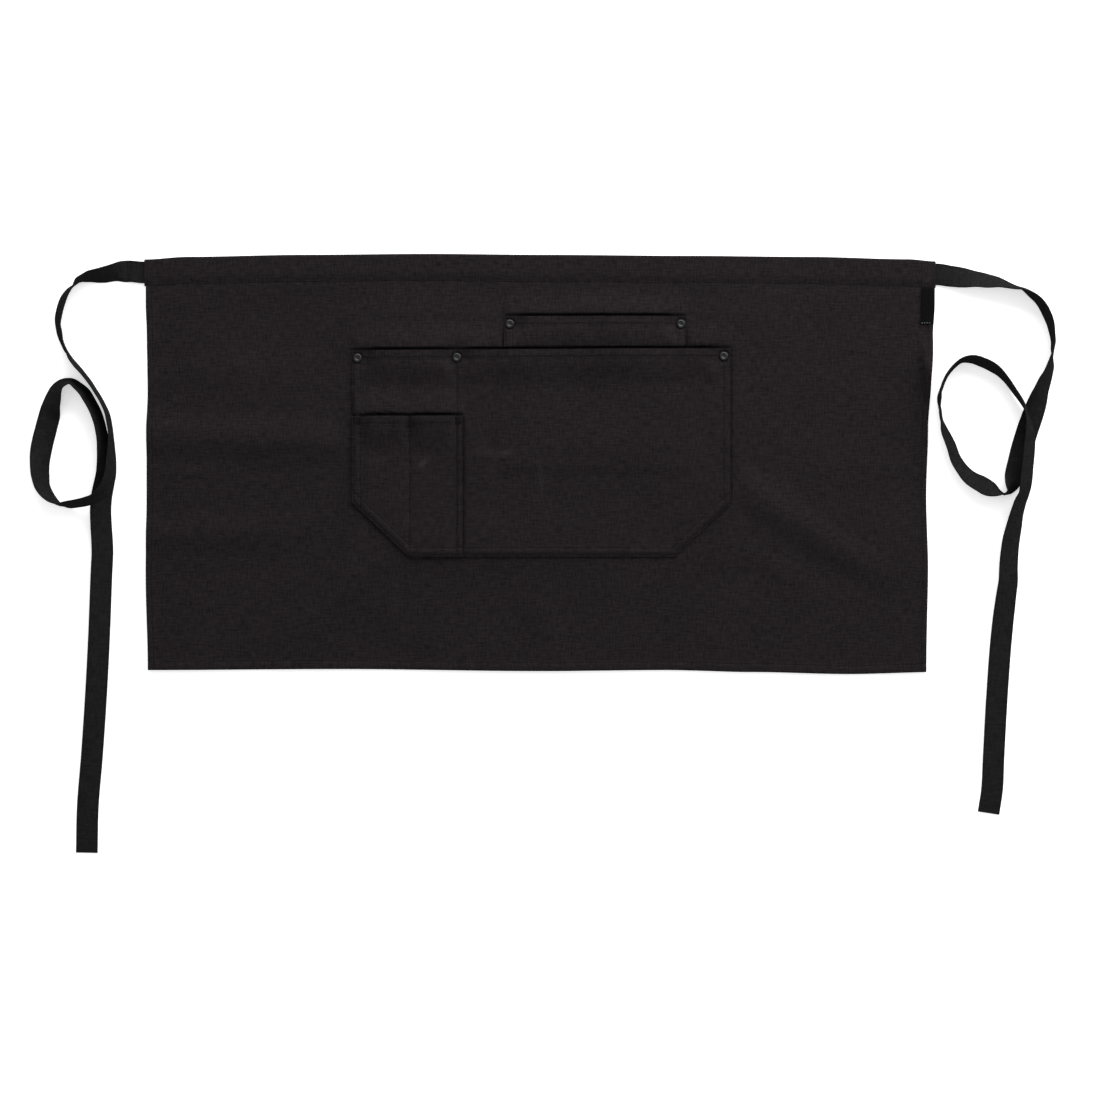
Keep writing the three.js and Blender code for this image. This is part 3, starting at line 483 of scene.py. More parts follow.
# Sewing thread: black core-spun polyester, smoother than the cloth, so it glints a little.
thread, tree, shader = material("black_polyester_thread", Roughness=0.6, Specular_IOR_Level=0.05)
where = add(tree, "ShaderNodeTexCoord").outputs["Object"]
ply = add(tree, "ShaderNodeTexNoise", {"Scale": 900, "Detail": 2}, {"Vector": where}).outputs[0]
shades = blend(tree, "0a0909", "1b1819", ply)
tree.links.new(shades, shader.inputs["Base Color"])
twist = add(
    tree, "ShaderNodeBump", {"Strength": 0.4, "Distance": 0.0001}, {"Height": ply}
).outputs[0]
tree.links.new(twist, shader.inputs["Normal"])


def sew(bm, points, stitch=2.3, gap=0.8, wide=0.7, tall=0.4, normals=None):
    """Lays stitches along points given in metres; each is a small spindle of thread."""
    points = np.array([tuple(p) for p in points], float)
    lengths = np.linalg.norm(np.diff(points, axis=0), axis=1)
    along = np.concatenate([[0], np.cumsum(lengths)])
    pitch = (stitch + gap) / 1000
    for k in range(int(along[-1] / pitch)):
        ends = [(k + 0.5) * pitch + d * stitch / 2000 for d in (-1, 1)]
        a, b = (Vector([np.interp(e, along, points[:, c]) for c in range(3)]) for e in ends)
        middle = (a + b) / 2
        run = (b - a).normalized()
        up = Vector((0, 0, 1))
        if normals is not None:
            up = Vector([np.interp((k + 0.5) * pitch, along, normals[:, c]) for c in range(3)])
        side = up.cross(run).normalized()
        up = run.cross(side)
        size = Matrix.Diagonal((stitch / 2000, wide / 2000, tall / 2000, 1))
        turned = Matrix((run, side, up)).transposed().to_4x4()
        bmesh.ops.create_icosphere(
            bm, subdivisions=1, radius=1, matrix=Matrix.Translation(middle) @ turned @ size
        )


def on_cloth(top, path, step=1.5):
    """Points in metres on a cloth's face, along a path in plan."""
    points = []
    for a, b in zip(path, path[1:]):
        count = max(1, round(math.dist(a, b) / step))
        for k in range(count):
            x = a[0] + (b[0] - a[0]) * k / count
            y = a[1] + (b[1] - a[1]) * k / count
            points.append(place(x, y, top(x, y) + 0.12))
    x, y = path[-1]
    points.append(place(x, y, top(x, y) + 0.12))
    return points


def scuff(piece, marks):
    """Paler places where a fold has rubbed: x, y, length, width, turn in degrees, strength."""
    layer = piece.data.attributes.new("scuff", "FLOAT", "POINT")
    for k, vert in enumerate(piece.data.vertices):
        x, y = own(vert.co)
        value = 0
        for mx, my, long, wide, turn, strength in marks:
            c, s = math.cos(math.radians(turn)), math.sin(math.radians(turn))
            along = ((x - mx) * c + (y - my) * s) / long
            across = (-(x - mx) * s + (y - my) * c) / wide
            value += strength * math.exp(-(along**2) - across**2)
        layer.data[k].value = min(1, value)


EDGE_RUN, TOP_RUN = 80, 55  # how far in from its edges the grid follows them


def panel_plan(u, v):
    """u from -400 to 400 and v from 0 to -422, drawn to the cloth's real edges."""
    x = u + (left_side(v) + HALF) * (1 - smooth((u + HALF) / EDGE_RUN))
    x -= (HALF - right_side(v)) * (1 - smooth((HALF - u) / EDGE_RUN))
    y = v + top_line(x) * (1 - smooth(-v / TOP_RUN))
    y += (bottom_line(x) + PANEL_DROP) * (1 - smooth((v + PANEL_DROP) / EDGE_RUN))
    return x, y


TUCK = 24.8  # the panel's top edge lies hidden in the waistband
side_rows = [side * (HALF - d) for side in (-1, 1) for d in (HEM_ROWS["side"], SIDE_HEM + 0.2)]
us = stations(-HALF, HALF, side_rows, 4)
BEHIND = (-0.6, 0.3, 1.2, 2, 2.8, 3.6, 5)  # closer rows just behind each mouth
behind_mouths = [mouth + d for mouth in (UPPER_MOUTH, MAIN_MOUTH) for d in BEHIND]
hem_rows = [d - PANEL_DROP for d in (HEM_ROWS["bottom"], BOTTOM_HEM + 0.2)]
vs = stations(-PANEL_DROP, -TUCK, hem_rows, 3.6, behind_mouths)
panel = finished(
    "panel_cloth",
    cloth(us, vs, panel_plan, panel_under, panel_top),
    black_twill,
    "twill",
    "apron_panel",
)
soften(panel)
scuff(panel, [(-250, -205, 26, 4, 6, 0.04)])
bm = bmesh.new()
rows = np.linspace(-30, -420, 60)
sew(bm, on_cloth(panel_top, [(left_side(y) + HEM_ROWS["side"], y) for y in rows]))
sew(bm, on_cloth(panel_top, [(right_side(y) - HEM_ROWS["side"], y) for y in rows]))
rows = np.linspace(-395, 390, 90)
sew(bm, on_cloth(panel_top, [(x, bottom_line(x) + HEM_ROWS["bottom"]) for x in rows]))
panel_thread = finished("panel_stitching", bm, thread, "twill")

# Waistband
# A strip of the same twill folded over the panel's top edge, both edges sewn down by one
# row; the ties are caught between its layers and held by two rows across each end.

BAND_THICK = 2 * CLOTH + 2 * SEAM + TIE_CLOTH
BAND_CLOTH = 0.35  # pressed thin along its lower edge, so that it hardly shows
BAND_ROW = 1.4  # stitching above the band's lower edge
END_ROWS = (2.5, 14)
TURN = math.pi * BAND_THICK / 2  # round the fold at the top


def band_point(s):
    """The band's outer face; s runs up its front, round the fold and down its back."""
    radius = BAND_THICK / 2
    front = BAND_HEIGHT - radius
    if s <= front:
        return s - BAND_HEIGHT, radius, radius
    if s <= front + TURN:
        angle = (s - front) / radius
        return radius * (math.sin(angle) - 1), radius, radius * math.cos(angle)
    return -radius - (s - front - TURN), radius, -radius


def band_top(x, y):
    up = y - (top_line(x) - BAND_HEIGHT)
    rows = [up - BAND_ROW] + [HALF - abs(x) - d for d in END_ROWS]
    pressed_edge = SLOT_FLOOR + CLOTH + BAND_CLOTH + 0.05
    flat = 1 - smooth(up / 8)
    height = BAND_THICK + (pressed_edge - BAND_THICK) * flat + seam(x, y, rows, 0.15)
    return height + 0.25 * noise.noise(Vector((x / 16, y / 9, 3))) * (1 - flat)


us = stations(-HALF, HALF, [side * (HALF - d) for side in (-1, 1) for d in END_ROWS], 4)
front = BAND_HEIGHT - BAND_THICK / 2
length = 2 * front + TURN
ss = stations(0, front, [BAND_ROW], 2.4) + list(np.linspace(front, front + TURN, 9)[1:])
ss += list(np.linspace(front + TURN, length, 9)[1:])
bm = bmesh.new()
bmesh.ops.create_grid(bm, x_segments=len(us) - 1, y_segments=len(ss) - 1, size=0.5)
for vert in bm.verts:
    x = us[round((vert.co.x + 0.5) * (len(us) - 1))]
    s = ss[round((vert.co.y + 0.5) * (len(ss) - 1))]
    y, middle, rise = band_point(s)
    y += top_line(x)
    if s < front:
        rise = band_top(x, y) - middle
    vert.co = place(x, y, middle + rise)
plan_uv(bm)
waistband = finished("waistband_cloth", bm, black_twill, "twill", "waistband")
walled = waistband.modifiers.new("cloth_thickness", "SOLIDIFY")
walled.thickness = BAND_CLOTH / 1000
walled.offset = -1
soften(waistband, 0.2)
bm = bmesh.new()
across = np.linspace(1 - HALF, HALF - 1, 120)
sew(bm, on_cloth(band_top, [(x, top_line(x) - BAND_HEIGHT + BAND_ROW) for x in across]))
for side in (-1, 1):
    for d in END_ROWS:
        x = side * (HALF - d)
        low = top_line(x) - BAND_HEIGHT + BAND_ROW
        sew(bm, on_cloth(band_top, [(x, low), (x, top_line(x) - 2.5)]))
band_thread = finished("waistband_stitching", bm, thread, "twill")

# Upper pocket
# A patch of twill sewn to the panel along its sides and foot in two rows; its hemmed
# mouth stands open between two rivets, and the main pocket covers its lower half.

# A mouth stands GAPE open, over GAPE_RUN from its sides and down to GAPE_DEPTH; CLOSED is
# the share of it that stays below. MOUTH_ROW is the one row through the mouth's hem.
SEWN, MOUTH_HEM, MOUTH_ROW, GAPE, GAPE_RUN, GAPE_DEPTH, CLOSED = 9, 9, 7.8, 5.5, 14, 40, 0.1
UPPER_SHOWS, UPPER_FOOT = UPPER_MOUTH - MAIN_MOUTH, UPPER_MOUTH - UPPER["deep"]
TWIN_ROWS = (2.4, 8.4)  # two needles 6 mm apart
TURNED = 9.6  # the sewn edges are turned under by this much
ROLL, ROLL_AT = 1.6, 0.95  # depth and place of the crease where the turned edge rolls under
CREASES = (0.42, ROLL_AT, 1.48)  # grid lines over that crease
ROUNDS = (2.6, 3.4, 4.1, 4.7, 5.3, 5.9, 6.6)  # and round each rivet


def foot_line(pocket, x):
    if not pocket["corner"]:
        return pocket["mouth"](x) - pocket["deep"]
    wide, tall = pocket["corner"]
    inward = min(x - MAIN["left"], MAIN["right"] - x)
    return FOOT + tall * max(0, 1 - inward / wide)


def stretch(pocket, x):
    """How much longer straight up is than square off the foot, beside a cut corner."""
    if not pocket["corner"]:
        return 1
    wide, tall = pocket["corner"]
    inward = min(x - MAIN["left"], MAIN["right"] - x)
    return math.hypot(wide, tall) / wide if inward < wide - 0.01 else 1


def sewn_edges(pocket, x, y):
    foot = (y - foot_line(pocket, x)) / stretch(pocket, x)
    return [x - pocket["left"], pocket["right"] - x, foot]


def stand_off(seams, below, closed_at, x, y):
    """How far a pocket's cloth stands off what it is sewn on."""
    swell = min(1, max(0, min(seams)) / GAPE_RUN)
    bulge = 1 - (1 - swell) ** 2
    open_share = smooth(1 - (below - MOUTH_HEM) / (closed_at - MOUTH_HEM))
    uneven = 1 + 0.45 * noise.noise(Vector((x / 37, y / 60, closed_at)))
    share = (CLOSED + (1 - CLOSED) * open_share) * uneven
    return GAPE * bulge * held(x, y, GAPE_RUN) * share


def pressed(x, y, thick):
    """The dimple that each rivet presses round itself, deepest at the cap's edge."""
    near = min(math.hypot(x - rx, y - ry) for rx, ry in RIVET_AT.values())
    dimple = 0.5 * (1 - smooth((near - 4.6) / 3.5))
    return dimple + min(thick - 0.6, 1.1) * math.exp(-(((near - 5.4) / 0.85) ** 2))


def face_of(pocket, x, y, extra=()):
    """Thickness above the underside: the cloth, its turned edges, stitching and rivets."""
    below = pocket["mouth"](x) - y
    edges = sewn_edges(pocket, x, y)
    edge = min(edges)
    rows = [d - row for d in edges for row in TWIN_ROWS] + [below - MOUTH_ROW, *extra]
    turned = max(step_down(below, MOUTH_HEM), step_down(edge, TURNED))
    groove = min(CLOTH + turned - 0.2, ROLL) * math.exp(-(((edge - ROLL_AT) / 0.55) ** 2))
    face = CLOTH + turned + seam(x, y, rows) - groove
    return max(0.2, face - pressed(x, y, CLOTH + turned))


def upper_under(x, y):
    seams = [d - SEWN for d in sewn_edges(UPPER, x, y)]
    lift = POCKET_LIFT + CLOTH + SEAM + drift(x, y)
    open_by = stand_off(seams, UPPER_MOUTH - y, UPPER_SHOWS, x, y)
    return lift + open_by + puff(MAIN, x, y)


def upper_top(x, y):
    return upper_under(x, y) + face_of(UPPER, x, y)


def pocket_plan(pocket, swell=23):
    """Plan of a pocket's grid: v counts down from the mouth; rows end along the foot."""
    deep = pocket["deep"]

    def plan(u, v):
        mouth, foot = pocket["mouth"](u), foot_line(pocket, u)
        if v <= GAPE_DEPTH:
            return u, mouth - v
        upper, lower = mouth - GAPE_DEPTH, foot + swell * stretch(pocket, u)
        if v <= deep - swell:
            return u, upper + (lower - upper) * (v - GAPE_DEPTH) / (deep - swell - GAPE_DEPTH)
        return u, foot + (deep - v) * stretch(pocket, u)

    return plan


def pocket_cloth(pocket, under, top, columns, step=3.4, behind=()):
    """A pocket's cloth, on a grid that is closer at seams, creases, rivets and mouths."""
    left, right, deep = pocket["left"], pocket["right"], pocket["deep"]
    keys = [left + d for d in TWIN_ROWS] + [right - d for d in TWIN_ROWS] + columns
    rounds = [side * d for d in ROUNDS for side in (-1, 1)]
    exact = [left + d for d in CREASES] + [right - d for d in CREASES]
    exact += [x + d for x, owner in RIVETS.values() if owner is pocket for d in rounds]
    us = stations(left, right, keys, step, exact)
    rows = [MOUTH_ROW, MOUTH_HEM, *(deep - d for d in TWIN_ROWS)]
    exact = [deep - d for d in CREASES] + [row - d for row in behind for d in BEHIND]
    exact += [RIVET_DOWN + d for d in rounds if pocket is not PEN]
    downs = stations(0, deep, rows, step, exact)
    return cloth(us, downs, pocket_plan(pocket), under, top)


def inset_path(points, inward):
    """A path moved to its left by a distance, with its corners kept."""
    lines = []
    for a, b in zip(points, points[1:]):
        run = (Vector(b) - Vector(a)).normalized()
        side = Vector((-run.y, run.x)) * inward
        lines.append((Vector(a) + side, Vector(b) + side))
    path = [lines[0][0]]
    for (a, b), (c, d) in zip(lines, lines[1:]):
        one, two = b - a, d - c
        share = (c - a).cross(two) / one.cross(two)
        path.append(a + one * share)
    return [tuple(p) for p in [*path, lines[-1][1]]]


bm = pocket_cloth(UPPER, upper_under, upper_top, [], behind=[UPPER_SHOWS])
upper_pocket = finished("upper_pocket_cloth", bm, black_twill, "twill", "upper_pocket")
soften(upper_pocket)
bm = bmesh.new()
for row in TWIN_ROWS:
    for x in (UPPER["left"] + row, UPPER["right"] - row):
        sew(bm, on_cloth(upper_top, [(x, UPPER_MOUTH - 8.5), (x, MAIN_MOUTH - 13)]))
hem_row = [(x, UPPER_MOUTH - MOUTH_ROW) for x in (UPPER["left"] + 10, UPPER["right"] - 10)]
sew(bm, on_cloth(upper_top, hem_row))
upper_thread = finished("upper_pocket_stitching", bm, thread, "twill")

# Main pocket
# The wide patch with two cut lower corners, lapped over the upper pocket, sewn on in two
# rows, split by one row down from its middle rivet and held by three rivets at its mouth.

OVER_UPPER = (UPPER["left"] - SEAM, UPPER["right"] + SEAM, UPPER_MOUTH, UPPER_FOOT - SEAM)
DRAPE = 12


def main_under(x, y):
    seams = [*(d - SEWN for d in sewn_edges(MAIN, x, y)), abs(x - DIVIDER) - SEAM]
    near_x = min(max(x, UPPER["left"]), UPPER["right"])
    near_y = max(y, UPPER_FOOT)
    over = inside(OVER_UPPER, x, y, DRAPE)
    carried = (upper_under(near_x, near_y) - drift(near_x, near_y) - POCKET_LIFT) * over
    lift = POCKET_LIFT + CLOTH + SEAM + drift(x, y)
    open_by = stand_off(seams, main_mouth(x) - y, GAPE_DEPTH, x, y)
    return lift + max(0, carried) + open_by + puff(PEN, x, y)


def main_top(x, y):
    return main_under(x, y) + face_of(MAIN, x, y, [x - DIVIDER])


left, right = MAIN["left"], MAIN["right"]
cut, tall = CORNER
outline = [
    (left, main_mouth(left)), (left, FOOT + tall), (left + cut, FOOT),
    (right - cut, FOOT), (right, FOOT + tall), (right, main_mouth(right)),
]
keys = [DIVIDER, left + cut, right - cut]
bm = pocket_cloth(MAIN, main_under, main_top, keys, behind=[PEN_BELOW])
main_pocket = finished("main_pocket_cloth", bm, black_twill, "twill", "main_pocket")
soften(main_pocket)
rubbed = [(-36, -202, 6, 2.4, 12, 0.17), (-50, -201, 14, 3, 0, 0.08), (1, -228, 2.6, 15, 6, 0.09)]
scuff(main_pocket, rubbed)
bm = bmesh.new()
for row in TWIN_ROWS:
    path = inset_path(outline, row)
    path[0] = (path[0][0], path[0][1] - MOUTH_HEM)
    path[-1] = (path[-1][0], path[-1][1] - MOUTH_HEM)
    sew(bm, on_cloth(main_top, path))
hem_row = [(x, main_mouth(x) - MOUTH_ROW) for x in np.linspace(left + 14, right - 16, 40)]
sew(bm, on_cloth(main_top, [p for p in hem_row if p[0] < DIVIDER - 7]))
sew(bm, on_cloth(main_top, [p for p in hem_row if p[0] > DIVIDER + 7]))
sew(bm, on_cloth(main_top, [(DIVIDER, MAIN_MOUTH - 15), (DIVIDER, FOOT + 2)]))
main_thread = finished("main_pocket_stitching", bm, thread, "twill")

# Pen pocket
# A smaller patch over the main pocket's left compartment, sewn in with it; a row down its
# middle makes two pen slots, and a folded strip finishes its right side. Short dense bar
# tacks hold both ends of its mouth.

TACK = 8  # a bar tack's length and height


def pen_under(x, y):
    left, _, foot = sewn_edges(PEN, x, y)
    seams = [left - SEWN, foot - SEWN, abs(x - PEN_SEAM) - SEAM, DIVIDER - x - SEAM]
    base = main_under(x, y) + CLOTH + step_down(main_mouth(x) - y, MOUTH_HEM) + SEAM
    return base + stand_off(seams, PEN["mouth"](x) - y, GAPE_DEPTH, x, y)


def pen_top(x, y):
    rows = [x - PEN_SEAM, x - DIVIDER]
    strip = 0.5 * smooth((x - DIVIDER - 0.4) / 1.2)
    return pen_under(x, y) + face_of(PEN, x, y, rows) + strip


bm = pocket_cloth(PEN, pen_under, pen_top, [PEN_SEAM, DIVIDER], 2.8)
pen_pocket = finished("pen_pocket_cloth", bm, black_twill, "twill", "pen_pocket")
soften(pen_pocket)
scuff(pen_pocket, [(-119, -212.5, 5.5, 2, 38, 0.26), (-168, -208, 8, 2.5, 5, 0.04)])
bm = bmesh.new()
pen_level = MAIN_MOUTH - PEN_BELOW
for row in TWIN_ROWS:
    path = inset_path(outline[:4], row)
    path[0] = (path[0][0], pen_level - 2.5)
    path[-1] = (DIVIDER - 1, path[-1][1])
    sew(bm, on_cloth(pen_top, path))
for x in (PEN_SEAM, DIVIDER, PEN["right"] - 1.8):
    sew(bm, on_cloth(pen_top, [(x, pen_level - 4.5), (x, FOOT + 1)]))
hem_row = [(x, PEN["mouth"](x) - MOUTH_ROW) for x in np.linspace(left + 10, DIVIDER - 3, 12)]
sew(bm, on_cloth(pen_top, hem_row))
for x in (PEN["left"] + 1, PEN["right"] - TACK - 1):
    for k in range(TACK):
        y = PEN["mouth"](x) - 1.2 - k
        row = on_cloth(pen_top, [(x, y), (x + TACK, y)])
        sew(bm, row, stitch=3.6, gap=0.3, wide=0.95, tall=1.3)
pen_thread = finished("pen_pocket_stitching", bm, thread, "twill")

# Rivets
# Pressed brass caps, plated gunmetal: a rounded rim, a domed ring and a dimple left by the
# setting tool. The plating is dark, with a satin shine that lights the rim.

# From a cap's middle to its foot: radius and height.
RIM = [
    (0, 1.25), (0.9, 1.2), (1.6, 1.35), (2.1, 1.75), (2.7, 2.0), (3.4, 1.95), (4.1, 1.6),
    (4.6, 0.95), (4.75, 0.5), (4.6, 0.1), (4.2, 0.0),
]
gunmetal, tree, shader = material("gunmetal_plated_brass", Metallic=1.0, Roughness=0.38)
where = add(tree, "ShaderNodeTexCoord").outputs["Object"]
tarnish = add(
    tree, "ShaderNodeTexNoise", {"Scale": 700, "Detail": 4}, {"Vector": where}
).outputs[0]
plate = blend(tree, "272727", "3e3d3d", tarnish)
tree.links.new(plate, shader.inputs["Base Color"])
gloss = add(
    tree, "ShaderNodeMapRange", {"To Min": 0.3, "To Max": 0.45}, {"Value": tarnish}
).outputs[0]
tree.links.new(gloss, shader.inputs["Roughness"])
for name, (_, pocket) in RIVETS.items():
    x, y = RIVET_AT[name]
    seat = (main_top if pocket is MAIN else upper_top)(x, y)
    bm = bmesh.new()
    for (r, z), (r2, z2) in zip(RIM, RIM[1:]):
        a = bmesh.ops.create_vert(bm, co=place(x + r, y, seat + z))["vert"][0]
        b = bmesh.ops.create_vert(bm, co=place(x + r2, y, seat + z2))["vert"][0]
        bm.edges.new((a, b))
    bmesh.ops.remove_doubles(bm, verts=bm.verts[:], dist=1e-7)
    bmesh.ops.spin(
        bm,
        geom=bm.verts[:] + bm.edges[:],
        cent=place(x, y, seat),
        axis=(0, 0, 1),
        angle=math.tau,
        steps=32,
        use_merge=True,
    )
    bmesh.ops.remove_doubles(bm, verts=bm.verts[:], dist=1e-6)
    open_rim = [e for e in bm.edges if e.is_boundary]
    bmesh.ops.holes_fill(bm, edges=open_rim, sides=0)
    bmesh.ops.recalc_face_normals(bm, faces=bm.faces[:])
    finished(name + "_cap", bm, gunmetal, "gunmetal", name)

# Side label
# A plain black woven satin tape folded over the right side hem under the waistband. One
# row of grey thread closes its lower end.

LABEL_WIDE, LABEL_TALL, LABEL_CLOTH, LABEL_AT = 13.6, 36.5, 0.6, 393


def label_under(x, y):
    return panel_under(x, y) + CLOTH + TURNING + SEAM


def label_top(x, y):
    return label_under(x, y) + LABEL_CLOTH + 0.15 * noise.noise(Vector((x / 5, y / 8, 1)))


def label_plan(u, v):
    y = top_line(LABEL_AT) - BAND_HEIGHT - SEAM - v
    return right_side(y) - u, y


satin, tree, shader = material("black_woven_satin_tape", Roughness=0.55, Specular_IOR_Level=0.02)
where = add(tree, "ShaderNodeUVMap", {"uv_map": "cloth"}).outputs[0]
# satin floats run across the tape; 0.3 mm in the real one, drawn 1.2 mm so that they show
floats_at = add(
    tree, "ShaderNodeMapping", {"Scale": (1 / 0.004, 1 / 0.0012, 1)}, {"Vector": where}
)
floats = add(
    tree, "ShaderNodeTexNoise", {"Scale": 1.0, "Detail": 2}, {"Vector": floats_at.outputs[0]}
).outputs[0]
tape = blend(tree, "040404", "100f10", floats)
tree.links.new(tape, shader.inputs["Base Color"])
ribbing = add(
    tree, "ShaderNodeBump", {"Strength": 0.4, "Distance": 0.0002}, {"Height": floats}
).outputs[0]
tree.links.new(ribbing, shader.inputs["Normal"])
bm = cloth(
    list(np.linspace(0, LABEL_WIDE, 10)),
    list(np.linspace(0, LABEL_TALL, 22)),
    label_plan,
    label_under,
    label_top,
)
label = finished("plain_label", bm, satin, "label", "side_label")
soften(label, 0.15)
grey_thread, tree, shader = material("grey_polyester_thread", Roughness=0.6)
where = add(tree, "ShaderNodeTexCoord").outputs["Object"]
ply = add(tree, "ShaderNodeTexNoise", {"Scale": 900, "Detail": 2}, {"Vector": where}).outputs[0]
greys = blend(tree, "3a3c3e", "606365", ply)
tree.links.new(greys, shader.inputs["Base Color"])
bm = bmesh.new()
low = label_plan(0, LABEL_TALL - 0.9)[1]
sew(bm, on_cloth(label_top, [(right_side(low) - 13, low), (right_side(low) - 0.6, low)]), gap=0.2)
label_thread = finished("label_stitching", bm, grey_thread, "label")

# Ties
# Each is a twill strip folded in four to 22 mm and edge stitched on both sides. It comes
# out of the waistband, rolls on its edge, makes one open loop over itself and hangs flat.

TIE_WIDTH, TIE_TUCK = 22, 16
EDGE_ROW = 1.7
SLUMP = 5  # degrees
HIDDEN, LAST = 8, 2  # sections at the root and the tip that carry no edge stitching
EDGE_CURL = 2.2  # how far the strip curls across where it rolls on its edge
# Rows of a route: out and fall as shares of the tie's reach and fall, roll in degrees,
# and how far the lower edge is lifted, as a share of the tie's width.
LEFT_ROUTE = [
    (0.147, -0.002, 0, 0), (0.253, 0.001, -42, 0), (0.358, 0.0055, -53, 0), (0.411, 0.007, -60, 0),
    (0.464, 0.008, -69, 0), (0.517, 0.011, -79, 0), (0.57, 0.014, -86, 0), (0.622, 0.0245, -98, 0),
    (0.675, 0.0375, -107, 0), (0.71, 0.051, -111, 0), (0.733, 0.065, -111, 0),
    (0.746, 0.079, -110, 0), (0.746, 0.0925, -106, 0), (0.733, 0.1065, -105, 0),
    (0.715, 0.12, -100, 0), (0.688, 0.134, -97, 0), (0.644, 0.1495, -90, 0),
    (0.592, 0.1615, -87, 0), (0.53, 0.1755, -88, 0), (0.429, 0.203, -89, 0),
    (0.349, 0.2305, -89, 0), (0.319, 0.2445, -89, 0), (0.303, 0.26, -89, 0), (0.288, 0.279, -88, 0),
    (0.279, 0.2995, -84, 0.08), (0.275, 0.32, -79, 0.2), (0.275, 0.341, -75, 0.35),
    (0.288, 0.358, -71, 0.46), (0.319, 0.372, -70, 0.52), (0.367, 0.382, -71, 0.54),
    (0.42, 0.39, -74, 0.52), (0.482, 0.3945, -74, 0.36), (0.57, 0.398, -76, 0.14),
    (0.675, 0.4, -80, 0), (0.728, 0.3985, -88, 0), (0.781, 0.3935, -98, 0),
    (0.851, 0.3805, -112, 0), (0.887, 0.3685, -122, 0), (0.904, 0.3545, -133, 0),
    (0.913, 0.327, -145, 0), (0.9, 0.2995, -164, 0), (0.869, 0.272, -175, 0),
    (0.834, 0.2445, -185, 0), (0.816, 0.2305, -205, 0), (0.794, 0.2165, -215, 0),
    (0.768, 0.203, -230, 0), (0.728, 0.1935, -245, 0), (0.675, 0.189, -253, 0),
    (0.64, 0.188, -258, 0), (0.57, 0.197, -255, 0), (0.517, 0.207, -252, 0),
    (0.486, 0.2165, -252, 0), (0.411, 0.2445, -253, 0), (0.371, 0.272, -253, 0),
    (0.354, 0.29, -249, 0), (0.342, 0.31, -240, 0), (0.334, 0.3275, -228, 0),
    (0.333, 0.344, -218, 0), (0.343, 0.358, -210, 0), (0.357, 0.3705, -206, 0),
    (0.37, 0.383, -204, 0), (0.381, 0.41, -203, 0), (0.377, 0.437, -199, 0),
    (0.367, 0.479, -196, 0), (0.376, 0.52, -195, 0), (0.398, 0.63, -192, 0),
    (0.429, 0.741, -189, 0), (0.464, 0.8375, -184, 0), (0.499, 0.92, -180, 0), (0.508, 1, -180, 0),
]
RIGHT_ROUTE = [
    (0.124, 0.0035, -8, 0), (0.226, 0.0065, -19, 0), (0.328, 0.0095, -38, 0), (0.43, 0.013, -47, 0),
    (0.532, 0.016, -63, 0), (0.583, 0.0195, -70, 0), (0.634, 0.023, -76, 0), (0.736, 0.03, -86, 0),
    (0.787, 0.037, -93, 0), (0.868, 0.051, -97, 0), (0.915, 0.066, -99, 0),
    (0.945, 0.081, -98, 0), (0.966, 0.0955, -96, 0), (0.979, 0.1105, -93, 0),
    (0.985, 0.1255, -90, 0), (0.977, 0.14, -86, 0), (0.974, 0.155, -80, 0), (0.966, 0.17, -69, 0),
    (0.945, 0.185, -61, 0), (0.919, 0.1995, -49, 0), (0.894, 0.2145, -41, 0),
    (0.872, 0.2295, -28, 0), (0.83, 0.259, -8, 0), (0.783, 0.289, 0, 0), (0.741, 0.3185, 0, 0),
    (0.702, 0.348, -10, 0), (0.66, 0.378, -24, 0), (0.634, 0.393, -48, 0), (0.6, 0.404, -80, 0),
    (0.532, 0.404, -104, 0), (0.481, 0.4, -130, 0), (0.43, 0.3955, -143, 0),
    (0.379, 0.389, -143, 0), (0.328, 0.3835, -139, 0), (0.277, 0.376, -134, 0),
    (0.222, 0.363, -128, 0), (0.175, 0.348, -125, 0), (0.124, 0.3185, -119, 0),
    (0.094, 0.3035, -116, 0), (0.065, 0.289, -109, 0), (0.048, 0.274, -99, 0),
    (0.034, 0.25, -97, 0), (0.03, 0.2295, -90, 0), (0.043, 0.2145, -96, 0), (0.065, 0.1995, -97, 0),
    (0.103, 0.185, -96, 0), (0.15, 0.172, -97, 0), (0.226, 0.16, -98, 0), (0.277, 0.1585, -101, 0),
    (0.328, 0.1595, -103, 0), (0.379, 0.1635, -105, 0), (0.43, 0.168, -105, 0),
    (0.481, 0.1745, -103, 0), (0.532, 0.183, -99, 0), (0.583, 0.195, -95, 0),
    (0.634, 0.21, -93, 0.02), (0.685, 0.2275, -91, 0.08), (0.736, 0.2475, -86, 0.13),
    (0.772, 0.27, -76, 0.14), (0.79, 0.294, -63, 0.14), (0.786, 0.3205, -56, 0.14),
    (0.77, 0.359, -54, 0.14), (0.753, 0.3925, -54, 0.13), (0.736, 0.41, -57, 0.06),
    (0.711, 0.4225, -52, 0), (0.69, 0.4375, -49, 0), (0.66, 0.467, -38, 0), (0.626, 0.5115, -28, 0),
    (0.617, 0.5415, -25, 0), (0.613, 0.571, -20, 0), (0.596, 0.6, -14, 0), (0.566, 0.66, -5, 0),
    (0.524, 0.779, -3, 0), (0.494, 0.898, -3, 0), (0.481, 0.9575, 0, 0), (0.452, 1, 0, 0),
]


